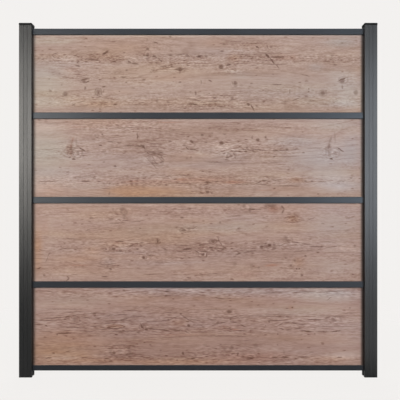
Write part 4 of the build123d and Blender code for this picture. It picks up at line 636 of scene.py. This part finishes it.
BOTTOM = (
    F("mottle", 200, 293, 330, 7, 0.6) + F("mottle", 200, 322, 330, 17, 0.46) + F("mottle", 120, 351, 28, 11, 0.5) + F("mottle", 225, 351, 52, 9, 0.28)
    + F("mottle", 200, 359, 330, 6.5, 0.6)
    + W(75, 319, 8, 5.5, 0.3, 8) + W(142.5, 327, 6, 5, 0.45) + W(334, 320, 8, 4.5, 0.3, 5) + W(229.5, 311.5, 8, 4, 0.3)
    + W(120, 351, 14, 9, 0.45) + W(190, 356, 9, 5, 0.35) + W(250, 357, 8, 5, 0.35) + W(228, 350, 9, 6, 0.3) + W(206, 353, 7, 4, 0.25)
    +     F("grey", 225, 291, 175, 9, 0.7) + F("glow", 210, 292, 180, 10, 0.08) + F("glow", 120, 300, 110, 12, 0.06) + F("shade", 165, 330, 125, 18, 0.08)
    + F("tan", 50, 352, 66, 24, 0.75) + F("tan", 105, 361, 60, 6, 0.5) + F("tan", 200, 362, 110, 4, 0.4) + F("tan", 335, 360, 50, 7, 0.5) + F("tan", 60, 334, 40, 8, 0.3)
    # painted sheen: the two large glow fields at the board's ends in the next line stand in for the lamps' sheen near
    # the ends
    + F("tan", 330, 345, 50, 16, 0.2) + F("glow", 345, 330, 44, 44, 0.16) + F("glow", 40, 325, 46, 44, 0.07) + F("grey", 342, 292, 26, 6, 0.25) + F("shade", 175, 356, 75, 9, 0.05)
    + F("tan", 178, 323, 15, 6, 0.45) + F("tan", 115, 326, 12, 2.5, 0.6) + F("tan", 197, 299, 9, 4, 0.35) + F("grey", 120, 335, 40, 8, 0.2)
    + F("glow", 325, 296, 50, 11, 0.22) + F("beige", 325, 296, 50, 11, 0.6) + F("glow", 310, 318, 44, 13, 0.10) + F("shade", 180, 349, 84, 12, 0.11) + F("glow", 343, 356, 28, 9, 0.12)
    + F("beige", 60, 352, 70, 16, 0.4) + F("tan", 84, 346, 60, 18, 0.35) + F("red", 250, 357, 70, 8, 0.4) + F("shade", 130, 343, 36, 9, 0.12) + F("shade", 240, 345, 40, 10, 0.12) + F("shade", 250, 357, 60, 8, 0.12) + F("shade", 170, 296, 70, 9, 0.08) + F("shade", 155, 311, 40, 7, 0.08) + F("red", 226, 326, 26, 6, 0.2)
   
    + F("glow", 122, 352, 11, 7, 0.07)
    # left part
    + K(74.5, 319.3, 6.4, 0.50) + S(0.55, 0.45, (64, 318.4), (71, 315), (80, 316.8)) + D(79.6, 321, 0.9, 0.7, 0.5) + S(0.5, 0.4, (73, 323.4), (79, 323))
    + S(0.6, 0.66, (33, 324.5), (44, 324.9), (48, 326.6)) + S(0.5, 0.5, (34, 320.8), (60, 320.6), (70, 318)) + S(0.4, 0.35, (34, 329.6), (46, 329.3))
    + S(0.85, 0.8, (55.6, 333.6), (73, 332.9)) + D(57, 334.6, 1.0, 1.0, 0.6) + S(0.4, 0.42, (43, 331.4), (52, 332)) + S(0.4, 0.4, (60, 330.6), (73, 330.4))
    + S(0.45, 0.42, (80, 331.4), (95, 332)) + F("light", 52, 324, 11, 3.5, 0.5) + S(0.5, 0.5, (49, 335.2), (56, 335.2), kind="light") + S(0.45, 0.4, (56, 331.9), (72, 331.7), kind="light")
    + S(0.5, 0.52, (80, 317), (92, 318.6), (102, 318)) + S(0.5, 0.46, (104, 316.8), (115, 314.6), (129, 314.6)) + S(0.5, 0.52, (124, 317.6), (146, 316.4))
    + S(0.9, 0.48, (119.6, 320), (129, 318.4)) + S(0.5, 0.52, (88, 327), (104, 325.8), (120, 326.6)) + D(124, 326.9, 1.5, 0.6, 0.8) + S(0.45, 0.42, (99, 323.6), (114, 323.5))
    + S(0.5, 0.42, (60, 312.4), (90, 311.6)) + S(0.45, 0.4, (84, 314), (104, 312.6)) + S(0.45, 0.36, (34, 313.4), (58, 312.6)) + S(0.45, 0.36, (120, 311), (140, 310))
    + S(1.05, 0.82, (141, 324.4), (142.6, 328.4)) + D(138.4, 332.5, 1.7, 0.8, 0.55) + D(146.5, 329.5, 1.6, 1.1, 0.85)
    + D(53.6, 353.3, 1.3, 0.8, 0.66) + S(0.45, 0.5, (65.6, 351.6), (70.6, 351.2)) + S(0.7, 0.62, (44.4, 358.6), (51.4, 357.8)) + S(0.55, 0.62, (79.6, 357.9), (90, 357.6))
    + S(0.6, 0.5, (103.4, 358), (110, 359.4)) + D(110.4, 361.4, 2.0, 1.1, 0.55) + D(104.6, 360.6, 1.2, 0.7, 0.45) + D(113.8, 352.8, 1.6, 1.4, 0.7) + D(130, 355, 2.8, 2.6, 0.36)
    + D(133.6, 346.5, 1.9, 0.8, 0.52) + D(129, 349, 1.3, 0.9, 0.42) + S(0.5, 0.42, (88, 362.8), (112, 362.2)) + S(0.5, 0.42, (34, 346), (42, 345.6)) + D(55, 292.6, 3.4, 0.7, 0.3)
    + S(0.45, 0.36, (44, 290.6), (56, 293)) + D(70.6, 300.6, 1.0, 0.8, 0.3) + S(0.5, 0.45, (90, 289), (112, 291.8), (145, 291.4), kind="light")
    # middle
    + S(0.55, 0.44, (142, 322.6), (160, 321.2), (168, 320), (180, 316)) + D(168.5, 320, 1.5, 0.9, 0.62) + D(180.6, 313.9, 1.5, 0.7, 0.66)
    + S(0.55, 0.46, (180, 314.4), (188, 319), (202, 321.2)) + S(0.55, 0.42, (182, 316.4), (196, 323.8), (206, 327.2)) + S(0.45, 0.4, (206, 319), (216, 320))
    + S(0.65, 0.52, (143, 328), (158, 329.4), (171, 331), (184, 330)) + S(0.5, 0.4, (183, 330), (190, 334)) + D(188.8, 325.5, 1.6, 1.3, 0.82)
    + D(229.3, 312, 2.8, 1.6, 0.72) + S(0.45, 0.4, (221, 310), (237, 309.6)) + D(230.6, 319.2, 1.2, 1.4, 0.55) + D(218, 322.5, 1.5, 0.9, 0.55)
    + S(0.55, 0.52, (211, 325.6), (229, 321.4), (238, 323), (247, 327.8)) + S(0.9, 0.6, (221, 325.6), (228, 329), (241, 330.2), kind="red") + S(0.55, 0.45, (226, 327.6), (234, 330.6), (249, 331.2))
    + S(0.5, 0.52, (199, 332.2), (207, 332)) + S(0.5, 0.6, (150, 335.4), (206, 334.6), kind="red") + S(1.6, 0.5, (176, 289.6), (205, 291.6), (228, 293.4), kind="light")
    + S(0.55, 0.45, (212, 297.6), (228, 299.6)) + S(0.5, 0.45, (239, 293.2), (254, 292)) + D(168, 290.2, 2.6, 1.4, 0.34) + S(0.5, 0.36, (150, 296.4), (180, 295.4)) + D(196, 300, 2.4, 0.8, 0.3)
    + D(183, 353.6, 1.3, 1.5, 0.75) + D(193, 358.6, 2.2, 1.0, 0.76) + S(0.45, 0.42, (191, 357.8), (200, 357.8)) + D(232, 347.5, 1.6, 1.7, 0.42) + D(237.8, 354, 1.2, 1.3, 0.66)
    + D(232.4, 354.4, 1.3, 0.6, 0.42) + D(249.4, 358.6, 3.4, 1.5, 0.55) + D(218.6, 360.3, 1.2, 0.8, 0.45) + D(150, 345, 1.3, 0.8, 0.42) + D(160.6, 350.6, 1.0, 0.9, 0.35)
    + D(177, 360, 1.1, 0.9, 0.45) + D(204.6, 345, 2.0, 0.6, 0.35) + D(221, 344.5, 1.3, 0.6, 0.45) + S(0.5, 0.36, (180, 312.8), (160, 312.6)) + S(0.5, 0.38, (196, 309.6), (226, 309.8))
    + S(0.45, 0.36, (242, 340.8), (254, 340.2))
    # painted light: the long thin glow field at y 287.6 in the next line lightens the board's upper edge where the
    # rail's shadow falls
    + F("light", 50, 324, 12, 3, 0.5) + D(142.6, 326, 2.4, 2.2, 0.5) + S(0.7, 0.6, (139.6, 323), (144.6, 330)) + F("glow", 322, 309, 66, 9, 0.16) + F("glow", 60, 308, 56, 9, 0.15) + F("shade", 132, 357, 38, 8, 0.14) + F("beige", 75, 300, 60, 10, 0.4) + F("beige", 300, 311, 60, 9, 0.4) + F("glow", 343, 296, 28, 9, 0.12) + F("glow", 262, 311, 36, 8, 0.13) + F("glow", 66, 357, 50, 8, 0.12) + F("glow", 344, 357, 26, 8, 0.12) + F("glow", 309, 334, 24, 14, 0.08) + F("glow", 197, 287.6, 420, 2.5, 0.30) + F("glow", 309, 356, 20, 7, 0.06) + F("tan", 84, 356, 24, 7, 0.3) + F("shade", 184, 311, 26, 7, 0.05) + S(0.5, 0.5, (36, 319), (66, 317.6)) + S(0.5, 0.5, (100, 321.2), (140, 320.6))
    + S(0.5, 0.46, (92, 329.6), (130, 328.2)) + S(0.5, 0.46, (60, 326.8), (90, 328.6)) + S(0.5, 0.5, (104, 331.4), (140, 331.6)) + S(0.5, 0.45, (205, 317.6), (262, 317))
    + S(0.5, 0.42, (232, 315.4), (300, 317.6)) + S(0.5, 0.42, (308, 315.6), (361, 316.8)) + S(0.5, 0.4, (190, 336), (262, 336.4)) + S(0.5, 0.4, (36, 309.6), (92, 308.8)) + S(0.5, 0.36, (110, 306.6), (176, 307.4))
    # right part
    + S(0.6, 0.52, (277.6, 326.2), (284, 322.8), (290.5, 322), (298, 324.6), (306, 325.2)) + S(0.6, 0.5, (278.6, 328), (285, 330.2), (293, 328.5), (303, 328.8)) + F("light", 290, 326, 9, 2.6, 0.3)
    + S(0.6, 0.58, (266, 320.7), (285, 320.5)) + D(269, 322, 1.3, 0.9, 0.62) + S(0.65, 0.58, (304, 320.2), (326, 319.4)) + S(0.5, 0.45, (325, 319), (331, 316.4), (347, 317.6))
    + F("light", 313, 324, 12, 4, 0.5) + S(0.7, 0.7, (299, 330.6), (315, 332), (330, 332), (342, 330.8)) + D(315, 334, 1.0, 0.9, 0.42) + S(0.45, 0.5, (300, 328.8), (316, 329.6), kind="light")
    + K(333.8, 320.2, 5.0, 0.50) + D(335.4, 320.8, 1.8, 1.0, 0.5) + D(292.5, 307.7, 1.0, 0.9, 0.78) + F("red", 291, 308, 5, 4, 0.5)
    + D(278, 334, 0.8, 0.9, 0.66) + D(265.6, 325.6, 0.9, 0.7, 0.52) + D(256, 346, 2.6, 2.2, 0.32) + D(253, 357.6, 1.6, 1.5, 0.42) + S(0.9, 0.48, (271, 358.2), (278.6, 357))
    + D(285.4, 357.6, 4.0, 0.9, 0.6) + S(0.8, 0.6, (297, 357.3), (309.6, 357.2)) + S(0.55, 0.62, (336.6, 357.5), (342.6, 357.6)) + S(0.45, 0.45, (309.4, 352.5), (314.4, 352.2)) + D(277.6, 345, 1.0, 0.9, 0.42)
    + S(0.5, 0.4, (326.6, 300.4), (332, 296.8)) + D(350, 308, 1.3, 0.7, 0.42) + S(0.6, 0.5, (255, 293.6), (290, 292), (318, 292.2), (346, 291)) + S(0.5, 0.42, (300, 291), (312, 291.6))
    + S(0.5, 0.36, (249, 314.8), (300, 315.2)) + S(0.5, 0.4, (340, 314), (358, 312.6)) + D(284, 352, 1.4, 2.4, 0.22) + S(0.45, 0.36, (306, 327), (360, 326.2))
)
BOTTOM_WARPS = [(75, 319, 15, 10, 0.7), (142.5, 327, 11, 7, 0.6), (229.5, 312, 12, 7, 0.7), (333.8, 320, 14, 9, 0.7), (290, 326, 16, 8, 0.6), (189, 325.5, 10, 6, 0.5)]

# the gains differ per board: partly each board's own tone, partly painted light that evens out how the lamps' light
# falls from the top board down
board_mats = {
    "top_board": board_material("laminate_top", 1.3, (1.052, 1.052, 1.052), 0.10, 66.0, TOP, TOP_WARPS),
    "upper_board": board_material("laminate_upper", 4.9, (1.118, 1.108, 1.118), 0.14, 56.0, UPPER, UPPER_WARPS),
    "lower_board": board_material("laminate_lower", 8.2, (1.162, 1.104, 1.104), 0.20, 56.0, LOWER, LOWER_WARPS),
    "bottom_board": board_material("laminate_bottom", 12.6, (1.092, 0.996, 0.996), 0.14, 36.0, BOTTOM, BOTTOM_WARPS),
}

post_coat = coated_metal("post_coat", lin(24, 25, 25), 0.31, 1.0)
cover_coat = coated_metal("cover_coat", lin(24, 25, 25), 0.31, 6.0)
rail_coat = coated_metal("rail_coat", lin(41, 43, 48), 0.31, 11.0, 0.60, (0.92, 1.0, 1.08, 1))
cap_mat = moulded_plastic("cap_moulding", lin(10, 10, 10), 0.55, 2.0, 0.22)
block_mat = moulded_plastic("block_moulding", lin(22, 22, 23), 0.55, 7.0)
seal_mat = rubber("seal_extrusion")
screw_mat = brushed_steel("screw_finish")


def material_for(n):
    if n in board_mats:
        return board_mats[n]
    if n.endswith("_seal"):
        return seal_mat
    if n.endswith("_screws"):
        return screw_mat
    if n.endswith("_block"):
        return block_mat
    if n.endswith("_cap"):
        return cap_mat
    if n.endswith("_cover"):
        return cover_coat
    if n.endswith("_rail"):
        return rail_coat
    return post_coat


for n, o in nodes.items():
    m = material_for(n)
    if not o.material_slots:
        o.data.materials.append(m)
    for ms in o.material_slots:
        ms.material = m


# ---------------------------------------------------------------- stage
BACK = lin(243, 241, 239)


def stage_floor():
    import bmesh
    bm = bmesh.new()
    x0, x1, y0, y1, n = -3.2, 3.2, -0.9, 3.2, 24
    grid = [[bm.verts.new((x0 + (x1 - x0) * i / n, y0 + (y1 - y0) * j / n, 0.0)) for i in range(n + 1)] for j in range(n + 1)]
    for j in range(n):
        for i in range(n):
            bm.faces.new((grid[j][i], grid[j][i + 1], grid[j + 1][i + 1], grid[j + 1][i]))
    me = bpy.data.meshes.new("floor")
    bm.to_mesh(me)
    bm.free()
    o = bpy.data.objects.new("floor", me)
    scene.collection.objects.link(o)
    t = new_tree("floor_pale")
    p = t.position()
    d = t.vec("LENGTH", t.place(p, (0, 0.9, 0), scale=(2.9, 2.1, 1.0), kind="TEXTURE"))
    fade = t.remap(d, 0.55, 1.0, 0.0, 1.0, smooth=True)
    camera_ray = t.new("ShaderNodeLightPath").outputs["Is Camera Ray"]
    lit = t.new("ShaderNodeBsdfDiffuse")
    t.put(lit.inputs["Color"], t.mix(camera_ray, (0.22, 0.22, 0.22, 1), (0.8, 0.79, 0.78, 1)))
    glow = t.new("ShaderNodeEmission")
    glow.inputs["Color"].default_value = BACK
    share = t.new("ShaderNodeMixShader")
    t.put(share.inputs[0], t.mul(camera_ray, 0.94))
    t.nt.links.new(lit.outputs[0], share.inputs[1])
    t.nt.links.new(glow.outputs[0], share.inputs[2])
    clear = t.new("ShaderNodeBsdfTransparent")
    edge = t.new("ShaderNodeMixShader")
    t.put(edge.inputs[0], fade)
    t.nt.links.new(share.outputs[0], edge.inputs[1])
    t.nt.links.new(clear.outputs[0], edge.inputs[2])
    out = t.new("ShaderNodeOutputMaterial")
    t.nt.links.new(edge.outputs[0], out.inputs["Surface"])
    me.materials.append(t.material)
    return o


stage_floor()

world = bpy.data.worlds.new("studio")
scene.world = world
world.use_nodes = True
wt = world.node_tree
wt.nodes.clear()
w_out = wt.nodes.new("ShaderNodeOutputWorld")
w_mix = wt.nodes.new("ShaderNodeMixShader")
w_seen = wt.nodes.new("ShaderNodeBackground")
w_seen.inputs["Color"].default_value = BACK
w_fill = wt.nodes.new("ShaderNodeBackground")
w_path = wt.nodes.new("ShaderNodeLightPath")
w_co = wt.nodes.new("ShaderNodeTexCoord")
w_sep = wt.nodes.new("ShaderNodeSeparateXYZ")
w_map = wt.nodes.new("ShaderNodeMapRange")
w_map.interpolation_type = "SMOOTHSTEP"
for s, v in zip(w_map.inputs[1:5], (-0.26, 0.06, 0.03, 0.36)):
    s.default_value = v
wt.links.new(w_co.outputs["Generated"], w_sep.inputs[0])
wt.links.new(w_sep.outputs[2], w_map.inputs[0])
w_rear = wt.nodes.new("ShaderNodeMapRange")
for s, v in zip(w_rear.inputs[1:5], (0.10, 0.55, 1.0, 0.15)):
    s.default_value = v
w_both = wt.nodes.new("ShaderNodeMath")
w_both.operation = "MULTIPLY"
wt.links.new(w_sep.outputs[1], w_rear.inputs[0])
wt.links.new(w_map.outputs[0], w_both.inputs[0])
wt.links.new(w_rear.outputs[0], w_both.inputs[1])
wt.links.new(w_both.outputs[0], w_fill.inputs["Strength"])
wt.links.new(w_path.outputs["Is Camera Ray"], w_mix.inputs[0])
wt.links.new(w_fill.outputs[0], w_mix.inputs[1])
wt.links.new(w_seen.outputs[0], w_mix.inputs[2])
wt.links.new(w_mix.outputs[0], w_out.inputs["Surface"])


def softbox(name, place, aim, wide, high, radiance, colour=(1, 1, 1)):
    d = bpy.data.lights.new(name, "AREA")
    d.shape = "RECTANGLE"
    d.size = wide
    d.size_y = high
    d.energy = radiance * math.pi * wide * high
    d.color = colour
    o = bpy.data.objects.new(name, d)
    o.location = place
    o.rotation_mode = "QUATERNION"
    o.rotation_quaternion = (Vector(aim) - Vector(place)).to_track_quat("-Z", "Y")
    o.visible_camera = False
    scene.collection.objects.link(o)


softbox("left_box", (-1.85, -3.3, 1.58), (-0.7, 0, 1.25), 1.0, 1.62, 5.0, (1.0, 0.957, 0.892))
softbox("right_low", (1.75, -3.3, -0.45), (0.9, 0, 0.2), 0.9, 0.9, 0.85)
softbox("right_box", (1.75, -3.3, 1.37), (0.7, 0, 1.1), 0.9, 1.94, 3.55, (0.90, 0.98, 1.08))
softbox("high_box", (0, -3.6, 5.0), (0, 0, 0.9), 3.2, 1.6, 10.2, (1.0, 0.995, 0.985))
softbox("front_card", (0, -4.6, 0.95), (0, 0, 0.95), 2.3, 1.9, 0.7, (1.0, 0.98, 1.0))
softbox("back_box", (0, 3.0, 4.8), (0, 0, 1.0), 3.0, 1.4, 11.0)
for side in (-1, 1):
    softbox("back_side_box", (side * 1.6, 3.5, 1.3), (side * 0.8, 0, 1.0), 0.9, 1.9, 4.2)
    softbox("end_box", (side * 4.0, 0.36, 1.2), (side * 0.96, 0, 1.1), 0.7, 2.0, 2.6)
